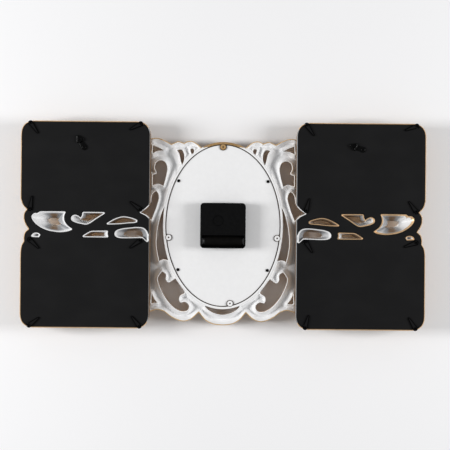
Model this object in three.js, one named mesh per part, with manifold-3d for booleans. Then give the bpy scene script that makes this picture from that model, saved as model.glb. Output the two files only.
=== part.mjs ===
// Wall clock with four photo frames, seen and hung by its back.
// Millimetres. X runs along the width, Z is up, the wall is the plane Y = 0 and the front faces -Y.
import * as THREE from 'three';
import { mergeVertices } from 'three/addons/utils/BufferGeometryUtils.js';
import Module from 'manifold-3d';

const wasm = await Module();
wasm.setup();

// Gaps, and how finely curves are cut
const seat_gap = 0.1;
const fit_gap = 0.3;
const overrun = 1;
const curve_step = 7;
const fine_step = 4.5;
const oval_step = 9;
const round_sides = 20;
const small_sides = 8;
const corner_steps = 3;
const miter_limit = 0.5;

// Wing mouldings, one on each side, with two landscape photo panels above each other
const wing_width = 160;
const wing_inner_x = 90.5;
const half_height = 128;
const strip_half_height = 18;
const wing_corner = 18;
const wing_depth = 18;
const wall = 2.2;
const skin = 2.4;
const rim = 1.6;
const front_round = 3.5;

// Photo windows
const print_width = 127;
const print_height = 89;
const sight_overlap = 4;
const sight_slope = 6;
const sight_slope_depth = 9;
const glass_thickness = 2;
const insert_thickness = 0.6;

// Back boards
const board_thickness = 2.5;
const board_inset = 1.5;

// Turn clips and their rivets
const clip_side_inset = 12;
const clip_edge_inset = 3;
const clip_strip_inset = 1.2;
const clip_length = 14.7;
const clip_pivot_radius = 3.1;
const clip_tip_radius = 1.3;
const clip_thickness = 1.2;
const clip_boss_radius = 3;
const rivet_head_radius = 1.7;
const rivet_head_height = 0.7;
const rivet_radius = 0.8;
const rivet_length = 6;

// Hangers: a folded strap with an eye, its screw and a three-cornered ring
const hanger_off_middle = 1.5;
const hanger_drop = 32.7;
const eye_radius = 1.6;
const eye_bore = 1.15;
const eye_length = 6;
const strap_length = 9.2;
const strap_thickness = 0.8;
const strap_end_radius = 3.7;
const strap_end_lean = Math.PI / 3;
const ring_wire = 1.6;
const ring_width = 12.4;
const ring_height = 10.7;
const ring_corner = 1.8;
const hanger_screw_head = 2.3;
const hanger_screw_height = 0.9;
const hanger_screw_radius = 0.9;

// Centre scroll moulding
const scroll_half_height = 124;
const scroll_rear = -16;
const scroll_depth = 16;

// Oval clock opening: plate, dial, lens and the raised ring round them
const plate_half_width = 71;
const plate_half_height = 100.4;
const plate_thickness = 2.2;
const plate_set_back = 1.2;
const dial_thickness = 0.8;
const ring_land = 3.4;
const shoulder = 6.3;
const lens_lip = 3;
const lens_thickness = 2;
const lens_room = 10.6;
const bezel_lip_depth = 3.8;
const bezel_round = 3;
const boss_radius = 3.6;
const boss_inset = 2.6;
const boss_pilot_radius = 0.9;
const boss_pilot_depth = 3;
const plate_screw_x = 55.6;
const plate_screw_z = 55.3;
const plate_screw_head = 2;
const plate_screw_height = 1;
const plate_screw_radius = 1.2;
const plate_screw_length = 9;

// Quartz movement
const case_side = 56;
const case_corner = 4.5;
const case_rear = -0.9;
const case_wall = 1.4;
const cover_thickness = 0.7;
const washer_thickness = 0.6;
const washer_radius = 10;
const battery_radius = 7;
const battery_length = 50;
const battery_nub_radius = 2.6;
const battery_nub_length = 1.4;
const contact_thickness = 0.4;
const contact_width = 8;
const contact_depth = 11;
const board_plate_width = 15;
const board_plate_height = 14;
const board_plate_thickness = 1;
const coil_radius = 2.4;
const coil_length = 11;

// Wheels, tubes and hands on the clock's axis
const gear_module = 0.525;
const minute_teeth = 24;
const pinion_teeth = 8;
const wheel_thickness = 1.4;
const hour_wheel_radius = 8;
const second_wheel_radius = 5;
const bush_radius = 4.8;
const bush_bore = 3.3;
const bush_flange_radius = 6.5;
const bush_flange_thickness = 1.2;
const bush_reach = 4.5;
const nut_radius = 8;
const nut_thickness = 2.4;
const nut_sides = 6;
const hour_tube_radius = 2.9;
const hour_tube_bore = 2.3;
const minute_tube_radius = 1.9;
const minute_tube_bore = 0.9;
const second_pin_radius = 0.6;
const knob_radius = 6.2;
const knob_height = 2.2;
const knob_shaft_radius = 1.2;
const hand_spacing = 2;
const hand_thickness = 0.6;
const second_hand_thickness = 0.3;
const hour_hand_length = 42;
const minute_hand_length = 60;
const second_hand_length = 55;
const hour_hand_width = 11;
const minute_hand_width = 8;
const second_hand_width = 3.6;

// The time that the hands show
const dial_hours = 12;
const dial_minutes = 60;
const shown_hour = 10;
const shown_minute = 8;
const shown_second = 20;

// Outline of the scroll centre, half of it, in shares of its half width and half height.
// A third value of 1 marks a sharp corner, here and in the tables after it
const top_edge_shares = [
  [0.31, 0.785, 1], [0.375, 0.825], [0.445, 0.848], [0.515, 0.84], [0.545, 0.825, 1], [0.625, 0.843],
  [0.72, 0.815, 1], [0.815, 0.852], [0.91, 0.875], [1, 0.87, 1],
];
const bottom_edge_shares = [
  [1, -0.87, 1], [0.885, -0.85], [0.8, -0.868, 1], [0.695, -0.925], [0.545, -0.965], [0.435, -0.945],
  [0.325, -0.875, 1], [0.235, -0.95], [0.13, -0.99], [0, -1],
];

// Piercings of the scroll centre, one side of it, in the same shares
const piercing_shares = {
  corner_slot: [[0.975, 0.8, 1], [0.98, 0.72, 1], [0.915, 0.745], [0.825, 0.75, 1], [0.89, 0.775]],
  top_slot: [[0.64, 0.755, 1], [0.58, 0.76], [0.545, 0.715], [0.545, 0.65], [0.57, 0.605, 1],
    [0.59, 0.65], [0.61, 0.715]],
  top_drop: [[0.455, 0.765], [0.42, 0.77], [0.405, 0.74], [0.435, 0.71, 1], [0.455, 0.745]],
  kidney: [[0.975, 0.505, 1], [0.92, 0.52], [0.945, 0.57], [0.93, 0.625], [0.87, 0.65], [0.81, 0.635],
    [0.775, 0.58], [0.79, 0.495], [0.825, 0.395, 1], [0.895, 0.415], [0.975, 0.4, 1]],
  tongue: [[0.925, 0.34], [0.89, 0.285], [0.915, 0.2], [0.955, 0.115], [0.99, 0.055, 1], [1.045, 0.095],
    [1.125, 0.125, 1], [1.06, 0.16], [1.005, 0.205], [0.975, 0.31]],
  side_crescent: [[0.77, 0.24, 1], [0.845, 0.125], [0.895, -0.015], [0.915, -0.175], [0.9, -0.275],
    [0.875, -0.36, 1], [0.825, -0.345], [0.7, -0.36, 1], [0.7, 0.24, 1]],
  comma: [[0.835, -0.465, 1], [0.785, -0.49], [0.78, -0.55], [0.745, -0.575], [0.65, -0.535, 1],
    [0.575, -0.61], [0.52, -0.675], [0.585, -0.71], [0.595, -0.75], [0.575, -0.775], [0.51, -0.77],
    [0.46, -0.805], [0.475, -0.85], [0.545, -0.865], [0.65, -0.835], [0.78, -0.735], [0.87, -0.605],
    [0.89, -0.53]],
  foot_slot: [[0.975, -0.685, 1], [0.945, -0.735], [0.9, -0.78, 1], [0.98, -0.785, 1]],
};
const foot_crescent_shares = [
  [0.235, -0.79, 1], [0.235, -0.815], [0.165, -0.86], [0.085, -0.885], [0, -0.895], [-0.085, -0.885],
  [-0.165, -0.86], [-0.235, -0.815], [-0.235, -0.79, 1],
];

// Outer edge of a wing between its two panels, in shares of the wing's width and the strip's half height
const strip_edge_shares = [
  [1, 1.75, 1], [0.983, 1.31], [0.953, 1.01, 1], [0.972, 0.73], [0.975, 0.36], [0.961, -0.02],
  [0.938, -0.34, 1], [0.964, -0.56], [0.974, -0.88], [0.974, -1.19, 1], [0.99, -1.45], [0.998, -1.82],
  [1, -2.3, 1],
];

// Middle of the rim round each piercing of a wing's strip, in the same shares
const strip_rim_shares = {
  scoop: [[0.854, 0.85, 1], [0.862, 0.72, 1], [0.888, 0.73], [0.904, 0.67], [0.911, 0.52], [0.906, 0.34],
    [0.884, 0.08], [0.845, -0.18], [0.799, -0.37], [0.744, -0.48], [0.688, -0.52], [0.629, -0.45],
    [0.597, -0.34, 1], [0.635, -0.1], [0.655, 0.13], [0.664, 0.38], [0.661, 0.65], [0.65, 0.86, 1]],
  comma: [[0.52, 0.84, 1], [0.339, 0.83, 1], [0.413, 0.41], [0.466, 0.09], [0.492, 0.01], [0.529, 0.06],
    [0.572, 0.15], [0.6, 0.28], [0.607, 0.42], [0.598, 0.57], [0.577, 0.64], [0.555, 0.58],
    [0.534, 0.42, 1], [0.522, 0.62]],
  leaf: [[0.341, 0.03, 1], [0.308, 0.21], [0.26, 0.43], [0.208, 0.55], [0.156, 0.5], [0.113, 0.38],
    [0.092, 0.27], [0.106, 0.18], [0.164, 0.13], [0.245, 0.06]],
  step: [[0.526, -0.85, 1], [0.492, -0.65], [0.455, -0.46, 1], [0.323, -0.43, 1], [0.327, -0.65],
    [0.319, -0.86, 1]],
  wedge: [[0.27, -0.65], [0.26, -0.44], [0.228, -0.31], [0.16, -0.22], [0.094, -0.17], [0.049, -0.22],
    [0.024, -0.41], [0.012, -0.69], [0.011, -0.94], [0.017, -1.18, 1], [0.038, -1.02], [0.055, -0.87, 1],
    [0.243, -0.87], [0.262, -0.78]],
  cap: [[0.915, -0.86, 1], [0.902, -0.68], [0.877, -0.61], [0.853, -0.67], [0.843, -0.82],
    [0.85, -0.89, 1]],
};

// Where each clip's tip points, in degrees up from +X, for the panels' corners on each wing
const clip_turns = {
  right: {
    upper: { outer_top: -125.5, inner_top: -28.8, outer_bottom: 99.5, inner_bottom: 36.9 },
    lower: { outer_top: -136.5, inner_top: -37.3, outer_bottom: 141.7, inner_bottom: 51.7 },
  },
  left: {
    upper: { outer_top: -20.9, inner_top: -125, outer_bottom: 53.6, inner_bottom: 105.3 },
    lower: { outer_top: -20, inner_top: -121.8, outer_bottom: 57.7, inner_bottom: 105.3 },
  },
};
const hanger_turns = { right: 31.5, left: 72 };

// Bosses that locate the oval plate, in degrees round it from +X
const boss_turns = [89.5, -9, 189, -98];

// Half outlines of the hands, in shares of their half width and length
const hour_hand_shares = [
  [0.28, -0.12], [0.2, 0.12], [0.16, 0.38], [0.3, 0.44], [0.62, 0.5], [1, 0.62], [0.86, 0.73], [0.42, 0.8],
  [0.2, 0.86], [0, 1, 1],
];
const minute_hand_shares = [
  [0.36, -0.1], [0.26, 0.1], [0.18, 0.48], [0.36, 0.53], [0.72, 0.57], [1, 0.66], [0.8, 0.74], [0.4, 0.79],
  [0.2, 0.84], [0, 1, 1],
];
const second_hand_shares = [
  [0.75, -0.36], [0.95, -0.3], [0.55, -0.22], [0.3, -0.08], [0.28, 0.1], [0, 1, 1],
];
const hub_shares = { hour: 1.7, minute: 2, second: 3.4 };

// Levels along Y that follow from the sizes
const wing_rear = -(2 * eye_radius + fit_gap);
const wing_front = wing_rear - wing_depth;
const board_front = wing_rear - board_thickness;
const insert_rear = board_front - seat_gap;
const glass_rear = insert_rear - insert_thickness - seat_gap;
const lip_rear = glass_rear - glass_thickness - seat_gap;
const scroll_front = scroll_rear - scroll_depth;
const plate_rear = scroll_rear - plate_set_back;
const dial_rear = plate_rear - plate_thickness - seat_gap;
const shoulder_y = dial_rear - dial_thickness - seat_gap;
const lens_rear = shoulder_y - lens_room;
const lens_seat = lens_rear - lens_thickness - seat_gap;
const bezel_front = lens_seat - bezel_lip_depth;
const washer_rear = plate_rear + seat_gap + washer_thickness;
const cover_front = washer_rear + seat_gap;
const cover_rear = cover_front + cover_thickness;
const case_front = cover_rear + seat_gap;

// Sizes across that follow from the sizes
const scroll_half_width = wing_inner_x - seat_gap;
const panel_z = (half_height + strip_half_height) / 2;
const wing_side = { right: 1, left: -1 };

// A closed outline through points, straight between neighbouring corners and smooth elsewhere
function outlineThrough(points, step = curve_step) {
  const at = (i) => points[i % points.length];
  const vectors = (from, count) => Array.from({ length: count }, (_, i) => {
    const [x, z] = at(from + i);
    return new THREE.Vector3(x, z, 0);
  });
  const spaced = (curve, least) => {
    const count = Math.max(least, Math.round(curve.getLength() / step));
    return curve.getSpacedPoints(count).slice(0, -1).map((p) => new THREE.Vector2(p.x, p.y));
  };
  const corners = points.flatMap((point, i) => (point[2] ? [i] : []));
  if (corners.length === 0) {
    return spaced(new THREE.CatmullRomCurve3(vectors(0, points.length), true, 'centripetal'), points.length);
  }
  return corners.flatMap((corner, k) => {
    const next = k + 1 < corners.length ? corners[k + 1] : corners[0] + points.length;
    const run = vectors(corner, next - corner + 1);
    if (run.length === 2) {
      return [new THREE.Vector2(run[0].x, run[0].y)];
    }
    return spaced(new THREE.CatmullRomCurve3(run, false, 'centripetal'), run.length - 1);
  });
}

// An outline moved outwards by a distance, or inwards by a negative one
function grown(outline, distance) {
  const turn = Math.sign(THREE.ShapeUtils.area(outline));
  return outline.map((point, i) => {
    const before = point.clone().sub(outline.at(i - 1)).normalize();
    const after = outline[(i + 1) % outline.length].clone().sub(point).normalize();
    const miter = new THREE.Vector2(before.y + after.y, -before.x - after.x).multiplyScalar(turn);
    const stretch = Math.max(1 + before.dot(after), miter_limit);
    return point.clone().addScaledVector(miter, distance / stretch);
  });
}

// A polygon with rounded corners, given as [x, z, radius]
function roundedPolygon(corners) {
  return corners.flatMap(([x, z, radius], i) => {
    const corner = new THREE.Vector2(x, z);
    if (!radius) {
      return [corner];
    }
    const [bx, bz] = corners.at(i - 1);
    const [ax, az] = corners[(i + 1) % corners.length];
    const start = new THREE.Vector2(bx, bz).sub(corner).setLength(radius).add(corner);
    const end = new THREE.Vector2(ax, az).sub(corner).setLength(radius).add(corner);
    return new THREE.QuadraticBezierCurve(start, corner, end).getPoints(corner_steps);
  });
}

function rectangle(width, height, x = 0, z = 0, radius = 0) {
  const [w, h] = [width / 2, height / 2];
  return roundedPolygon([[x - w, z - h, radius], [x + w, z - h, radius], [x + w, z + h, radius],
    [x - w, z + h, radius]]);
}

function oval(half_width, half_height_z) {
  const curve = new THREE.EllipseCurve(0, 0, half_width, half_height_z, 0, 2 * Math.PI);
  return curve.getPoints(Math.round(curve.getLength() / oval_step)).slice(0, -1);
}

// A drop with a large round end at the origin and a small one along +X
function drop(large, small, length) {
  const lean = Math.acos((large - small) / length);
  const arc = (x, radius, from, to, steps) => Array.from({ length: steps + 1 }, (_, i) => {
    const angle = from + ((to - from) * i) / steps;
    return new THREE.Vector2(x + radius * Math.cos(angle), radius * Math.sin(angle));
  });
  return [...arc(0, large, lean, 2 * Math.PI - lean, small_sides),
    ...arc(length, small, -lean, lean, corner_steps)];
}

// A toothed wheel's outline, with a tooth at the given angle
function gearOutline(teeth, tooth_angle) {
  const pitch = (teeth * gear_module) / 2;
  const step = (2 * Math.PI) / teeth;
  const flank_shares = [[-0.3, -1.1], [-0.13, 0.85], [0.13, 0.85], [0.3, -1.1]];
  return Array.from({ length: teeth }, (_, i) => flank_shares.map(([turn_share, height_share]) => {
    const angle = tooth_angle + (i + turn_share) * step;
    const radius = pitch + height_share * gear_module;
    return new THREE.Vector2(radius * Math.cos(angle), radius * Math.sin(angle));
  })).flat();
}

// A flat piece with an outline in X and Z, from its rear level to its front level
function slab(outline, rear, front) {
  const geometry = new THREE.ExtrudeGeometry(new THREE.Shape(outline), {
    depth: rear - front,
    bevelEnabled: false,
  });
  return solid(geometry.rotateX(Math.PI / 2).translate(0, rear, 0));
}

// The same with both faces rounded off by a width and a depth
function pillow(outline, rear, front, round, round_depth = round, steps = 2) {
  const geometry = new THREE.ExtrudeGeometry(new THREE.Shape(outline), {
    depth: rear - front - 2 * round_depth,
    bevelSize: round,
    bevelOffset: -round,
    bevelThickness: round_depth,
    bevelSegments: steps,
  });
  return solid(geometry.rotateX(Math.PI / 2).translate(0, rear - round_depth, 0));
}

// A pillow with a flat rear face
function softSlab(outline, rear, front, round) {
  const body = pillow(outline, rear + 2 * round, front, round);
  return body.subtract(slab(grown(outline, overrun), rear + 2 * round + overrun, rear));
}

// A round rod along Y
function rod(radius, rear, front, x = 0, z = 0, sides = round_sides) {
  return solid(new THREE.CylinderGeometry(radius, radius, rear - front, sides)
    .translate(x, (rear + front) / 2, z));
}

// A round rod along X
function crossRod(radius, length, x, y, z, sides = round_sides) {
  return solid(new THREE.CylinderGeometry(radius, radius, length, sides)
    .rotateZ(Math.PI / 2).translate(x, y, z));
}

function solid(geometry) {
  geometry.deleteAttribute('normal');
  geometry.deleteAttribute('uv');
  const merged = mergeVertices(geometry);
  return new wasm.Manifold(new wasm.Mesh({
    numProp: 3,
    vertProperties: new Float32Array(merged.attributes.position.array),
    triVerts: new Uint32Array(merged.index.array),
  }));
}

const joined = (first, ...others) => others.flat().reduce((body, other) => body.add(other), first);
const cut = (first, ...tools) => tools.flat().reduce((body, tool) => body.subtract(tool), first);

// A through cut of an outline between two levels
const through = (outline, rear, front) => slab(outline, rear + overrun, front - overrun);

const finish = (color, roughness, metalness) => new THREE.MeshStandardMaterial({
  color, roughness, metalness,
});
const bronze = finish(0xb08a5a, 0.45, 0.35);
const black_board = finish(0x1f1f1f, 0.75, 0);
const black_metal = finish(0x0c0c0c, 0.35, 0.6);
const white_plate = finish(0xeeeeee, 0.5, 0);
const black_gloss = finish(0x0a0a0c, 0.15, 0);
const dial_face = finish(0xf2ead6, 0.6, 0);
const clear_glass = finish(0xe6f0f0, 0.05, 0);
const insert_card = finish(0xd8cfc0, 0.8, 0);
const brass = finish(0xc9a24a, 0.3, 0.9);
const white_plastic = finish(0xe6e2d8, 0.5, 0);
const dark_rubber = finish(0x161616, 0.9, 0);
const steel = finish(0xb9bcc0, 0.3, 0.9);
const green_board = finish(0x1f5c3a, 0.6, 0);

const clock = new THREE.Group();

function piece(name, body, material, parent = clock) {
  const { vertProperties, triVerts } = body.getMesh();
  const geometry = new THREE.BufferGeometry();
  geometry.setAttribute('position', new THREE.BufferAttribute(vertProperties, 3));
  geometry.setIndex(new THREE.BufferAttribute(triVerts, 1));
  geometry.computeVertexNormals();
  const mesh = new THREE.Mesh(geometry, material);
  mesh.name = name;
  parent.add(mesh);
  return mesh;
}

// Outline of one piercing of the scroll centre, with side one for +X and minus one for -X
function piercing(side, shares) {
  return outlineThrough(shares.map(([x, z, corner]) => [
    side * x * scroll_half_width, z * scroll_half_height, corner]), fine_step);
}

const piercings = (side) => Object.values(piercing_shares).map((shares) => piercing(side, shares));

// Outline through points in shares of the wing's width and of its strip's half height
function stripOutline(side, shares) {
  return outlineThrough(shares.map(([x, z, corner]) => [
    side * (wing_inner_x + x * wing_width), z * strip_half_height, corner]), fine_step);
}

// Outline of a wing: down the strip's outer edge, then round the four corners
function wingOutline(side) {
  const outer = side * (wing_inner_x + wing_width);
  const inner = side * wing_inner_x;
  const corners = [[outer, -half_height], [inner, -half_height], [inner, half_height], [outer, half_height]];
  return [...stripOutline(side, strip_edge_shares),
    ...roundedPolygon(corners.map(([x, z]) => [x, z, wing_corner]))];
}

// The eight clip pivots of a wing: name, place and turn
function clipPlaces(wing) {
  const side = wing_side[wing];
  const columns = {
    outer: wing_inner_x + wing_width - clip_side_inset,
    inner: wing_inner_x + clip_side_inset,
  };
  const high = half_height - clip_edge_inset;
  const low = strip_half_height + clip_strip_inset;
  const rows = { upper: { top: high, bottom: low }, lower: { top: -low, bottom: -high } };
  return Object.entries(rows).flatMap(([panel, levels]) => Object.entries(levels).flatMap(
    ([level, z]) => Object.entries(columns).map(([column, x]) => ({
      name: `clip_${wing}_${panel}_${column}_${level}`,
      x: side * x,
      z,
      turn: clip_turns[wing][panel][`${column}_${level}`],
    })),
  ));
}

// One wing: moulding, back board, panes, inserts, clips and hanger
function buildWing(wing) {
  const side = wing_side[wing];
  const outline = wingOutline(side);
  const middle_x = side * (wing_inner_x + wing_width / 2);
  const holes = [
    ...Object.values(strip_rim_shares).map((shares) => grown(stripOutline(side, shares), -rim / 2)),
    piercing(side, piercing_shares.tongue),
  ];
  const pivots = clipPlaces(wing);
  const panels = { upper: panel_z, lower: -panel_z };
  const windowCut = (width, height, rear, front) => Object.values(panels).map((z) => slab(
    rectangle(width, height, middle_x, z), rear, front));
  const holeWalls = holes.map((hole) => slab(grown(hole, rim), wing_rear + overrun, wing_front));
  const bosses = pivots.map(({ x, z }) => rod(clip_boss_radius, wing_rear + overrun, wing_front, x, z,
    small_sides));
  const [pocket_width, pocket_height] = [print_width + 2 * fit_gap, print_height + 2 * fit_gap];
  const [sight_width, sight_height] = [print_width - 2 * sight_overlap, print_height - 2 * sight_overlap];

  const recess = cut(
    slab(grown(outline, fit_gap - board_inset), wing_rear + overrun, insert_rear),
    holeWalls,
    bosses,
  );
  const hollow = cut(
    slab(grown(outline, -wall), wing_rear + overrun, wing_front + skin),
    holeWalls,
    bosses,
    windowCut(pocket_width + 2 * wall, pocket_height + 2 * wall, wing_rear + 2 * overrun, wing_front),
  );
  const slopes = Object.values(panels).map((z) => pillow(
    rectangle(sight_width + 2 * sight_slope, sight_height + 2 * sight_slope, middle_x, z),
    wing_front + sight_slope_depth,
    wing_front - sight_slope_depth - overrun,
    sight_slope,
    sight_slope_depth,
    1,
  ));
  piece(`${wing}_wing_moulding`, cut(
    softSlab(outline, wing_rear, wing_front, front_round),
    recess,
    hollow,
    windowCut(pocket_width, pocket_height, wing_rear + overrun, lip_rear),
    windowCut(sight_width, sight_height, wing_rear + overrun, wing_front - overrun),
    slopes,
    holes.map((hole) => through(hole, wing_rear, wing_front)),
    pivots.map(({ x, z }) => rod(rivet_radius + fit_gap, wing_rear + overrun,
      wing_rear - rivet_length - overrun, x, z, small_sides)),
  ), bronze);

  const strap = hangerPlace(wing);
  piece(`${wing}_back_board`, cut(
    slab(grown(outline, -board_inset), wing_rear, board_front),
    holes.map((hole) => through(grown(hole, rim + fit_gap), wing_rear, board_front)),
    pivots.map(({ x, z }) => rod(clip_boss_radius + fit_gap, wing_rear + overrun, board_front - overrun,
      x, z, small_sides)),
    rod(hanger_screw_radius + seat_gap, wing_rear + overrun, board_front - overrun, strap.x, strap.z,
      small_sides),
  ), black_board);

  for (const [panel, z] of Object.entries(panels)) {
    piece(`${wing}_${panel}_insert`, slab(rectangle(print_width, print_height, middle_x, z), insert_rear,
      insert_rear - insert_thickness), insert_card);
    piece(`${wing}_${panel}_glass`, slab(rectangle(print_width, print_height, middle_x, z), glass_rear,
      glass_rear - glass_thickness), clear_glass);
  }
  for (const { name, x, z, turn } of pivots) {
    const clip = piece(name, clipBody(), black_metal);
    clip.position.set(x, 0, z);
    clip.rotation.y = -THREE.MathUtils.degToRad(turn);
  }
  buildHanger(wing);
}

// A turn clip with its rivet on the Y axis and its tip along +X
function clipBody() {
  const front = wing_rear + fit_gap;
  const rear = front + clip_thickness;
  return joined(
    slab(drop(clip_pivot_radius, clip_tip_radius, clip_length), rear, front),
    rod(rivet_head_radius, rear + rivet_head_height, front, 0, 0, small_sides),
    rod(rivet_radius, front + clip_thickness / 2, wing_rear - rivet_length, 0, 0, small_sides),
  );
}

// Place and turn of a hanger's screw
function hangerPlace(wing) {
  return {
    x: wing_side[wing] * (wing_inner_x + wing_width / 2 + hanger_off_middle),
    z: half_height - hanger_drop,
    turn: THREE.MathUtils.degToRad(hanger_turns[wing]),
  };
}

// Strap, screw and ring, with the screw on the Y axis and the ring along +Z
function buildHanger(wing) {
  const { x, z, turn } = hangerPlace(wing);
  const group = new THREE.Group();
  group.position.set(x, 0, z);
  group.rotation.y = turn;
  clock.add(group);
  const front = wing_rear + fit_gap;
  const rear = front + strap_thickness;
  const eye_y = front + eye_radius;
  const round_end = Array.from({ length: small_sides + 1 }, (_, i) => {
    const angle = Math.PI - strap_end_lean + ((Math.PI + 2 * strap_end_lean) * i) / small_sides;
    return new THREE.Vector2(strap_end_radius * Math.cos(angle), strap_end_radius * Math.sin(angle));
  });
  const flat = [...round_end, new THREE.Vector2(eye_length / 2, strap_length),
    new THREE.Vector2(-eye_length / 2, strap_length)];
  piece(`${wing}_hanger_strap`, cut(
    joined(slab(flat, rear, front), crossRod(eye_radius, eye_length, 0, eye_y, strap_length)),
    crossRod(eye_bore, eye_length + 2 * overrun, 0, eye_y, strap_length),
    rod(hanger_screw_radius + seat_gap, rear + overrun, front - overrun, 0, 0, small_sides),
  ), black_metal, group);
  piece(`${wing}_hanger_screw`, joined(
    rod(hanger_screw_head, rear + seat_gap + hanger_screw_height, rear + seat_gap),
    rod(hanger_screw_radius, rear + hanger_screw_height, board_front, 0, 0, small_sides),
  ), black_metal, group);
  const foot = strap_length - ring_wire / 2;
  const triangle = roundedPolygon([[-ring_width / 2, foot, ring_corner], [ring_width / 2, foot, ring_corner],
    [0, foot + ring_height, ring_corner]]);
  const inner = roundedPolygon([
    [-ring_width / 2 + ring_wire * Math.sqrt(3), foot + ring_wire, 0],
    [ring_width / 2 - ring_wire * Math.sqrt(3), foot + ring_wire, 0],
    [0, foot + ring_height - 2 * ring_wire, 0]]);
  piece(`${wing}_hanger_ring`, cut(
    slab(triangle, eye_y + ring_wire / 2, eye_y - ring_wire / 2),
    through(inner, eye_y + ring_wire / 2, eye_y - ring_wire / 2),
  ), black_metal, group);
}

// Places of the bosses on the oval opening's wall
function bossPlaces() {
  return boss_turns.map((turn) => {
    const angle = THREE.MathUtils.degToRad(turn);
    return [
      (plate_half_width - boss_inset) * Math.cos(angle),
      (plate_half_height - boss_inset) * Math.sin(angle),
    ];
  });
}

// The pierced centre with its raised ring round the oval opening
function buildScrollCentre() {
  const half = [...top_edge_shares, ...bottom_edge_shares];
  const right = half.map(([x, z, corner]) => [x * scroll_half_width, z * scroll_half_height, corner]);
  const left = right.slice(0, -1).map(([x, z, corner]) => [-x, z, corner]).reverse();
  const outline = outlineThrough([...right, ...left]);
  const holes = [...piercings(1), ...piercings(-1), piercing(1, foot_crescent_shares)];
  const ring = [plate_half_width + fit_gap + ring_land, plate_half_height + fit_gap + ring_land];
  const bore = [plate_half_width + fit_gap, plate_half_height + fit_gap];
  const lens_bore = [plate_half_width - shoulder + fit_gap, plate_half_height - shoulder + fit_gap];
  const sight = [lens_bore[0] - lens_lip - fit_gap, lens_bore[1] - lens_lip - fit_gap];
  const hollow = cut(
    slab(grown(outline, -wall), scroll_rear + overrun, scroll_front + skin),
    holes.map((hole) => slab(grown(hole, rim), scroll_rear + 2 * overrun, scroll_front)),
    slab(oval(...ring), scroll_rear + 2 * overrun, scroll_front),
  );
  const scrolls = cut(
    softSlab(outline, scroll_rear, scroll_front, front_round),
    hollow,
    holes.map((hole) => through(hole, scroll_rear, scroll_front)),
  );
  const raised = softSlab(oval(...ring), scroll_rear, bezel_front, bezel_round);
  const places = bossPlaces();
  const bosses = places.map(([x, z]) => rod(boss_radius, scroll_rear, shoulder_y, x, z, round_sides));
  const bored = cut(
    joined(scrolls, raised),
    slab(oval(...bore), scroll_rear + overrun, shoulder_y),
    slab(oval(...lens_bore), scroll_rear + overrun, lens_seat),
    slab(oval(...sight), scroll_rear + overrun, bezel_front - overrun),
    pillow(oval(sight[0] + bezel_lip_depth, sight[1] + bezel_lip_depth), bezel_front + bezel_lip_depth / 2,
      bezel_front - bezel_lip_depth - overrun, bezel_lip_depth, bezel_lip_depth / 2, 1),
  );
  const screws = plateScrewPlaces().map(({ x, z }) => rod(plate_screw_radius + fit_gap, shoulder_y + overrun,
    plate_rear - plate_screw_length - overrun, x, z, small_sides));
  const pilots = places.map(([x, z]) => rod(boss_pilot_radius, scroll_rear + overrun,
    scroll_rear - boss_pilot_depth, x, z, small_sides));
  piece('centre_scroll_moulding', cut(joined(bored, bosses), screws, pilots), bronze);
}

// Names and places of the four screws of the oval plate
function plateScrewPlaces() {
  const columns = { right: plate_screw_x, left: -plate_screw_x };
  const rows = { upper: plate_screw_z, lower: -plate_screw_z };
  return Object.entries(columns).flatMap(([column, x]) => Object.entries(rows).map(
    ([row, z]) => ({ name: `plate_screw_${column}_${row}`, x, z })));
}

// An oval sheet with notches for the bosses, holes for the screws and a hole for the bush
function ovalSheet(rear, thickness) {
  const front = rear - thickness;
  return cut(
    slab(oval(plate_half_width, plate_half_height), rear, front),
    bossPlaces().map(([x, z]) => rod(boss_radius + fit_gap, rear + overrun, front - overrun, x, z)),
    plateScrewPlaces().map(({ x, z }) => rod(plate_screw_radius + fit_gap, rear + overrun, front - overrun,
      x, z, small_sides)),
    rod(bush_radius + fit_gap, rear + overrun, front - overrun),
  );
}

function buildOval() {
  piece('clock_back_plate', ovalSheet(plate_rear, plate_thickness), white_plate);
  piece('dial', ovalSheet(dial_rear, dial_thickness), dial_face);
  piece('lens', slab(oval(plate_half_width - shoulder, plate_half_height - shoulder), lens_rear,
    lens_rear - lens_thickness), clear_glass);
  for (const { name, x, z } of plateScrewPlaces()) {
    const screw = piece(name, joined(
      rod(plate_screw_head, plate_rear + seat_gap + plate_screw_height, plate_rear + seat_gap),
      rod(plate_screw_radius, plate_rear + plate_screw_height, plate_rear - plate_screw_length, 0, 0,
        small_sides),
    ), black_metal);
    screw.position.set(x, 0, z);
  }
}

// Battery bay: length, height and the height of its middle
const bay_length = battery_length + 2 * (contact_thickness + 2 * fit_gap);
const bay_height = 2 * (battery_radius + fit_gap);
const bay_z = -(case_side / 2 - case_wall - bay_height / 2);
const battery_y = case_front + seat_gap + battery_radius;
const knob_place = ((minute_teeth + pinion_teeth) * gear_module) / 2 / Math.SQRT2;
const knob_floor = case_rear - knob_height;

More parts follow.
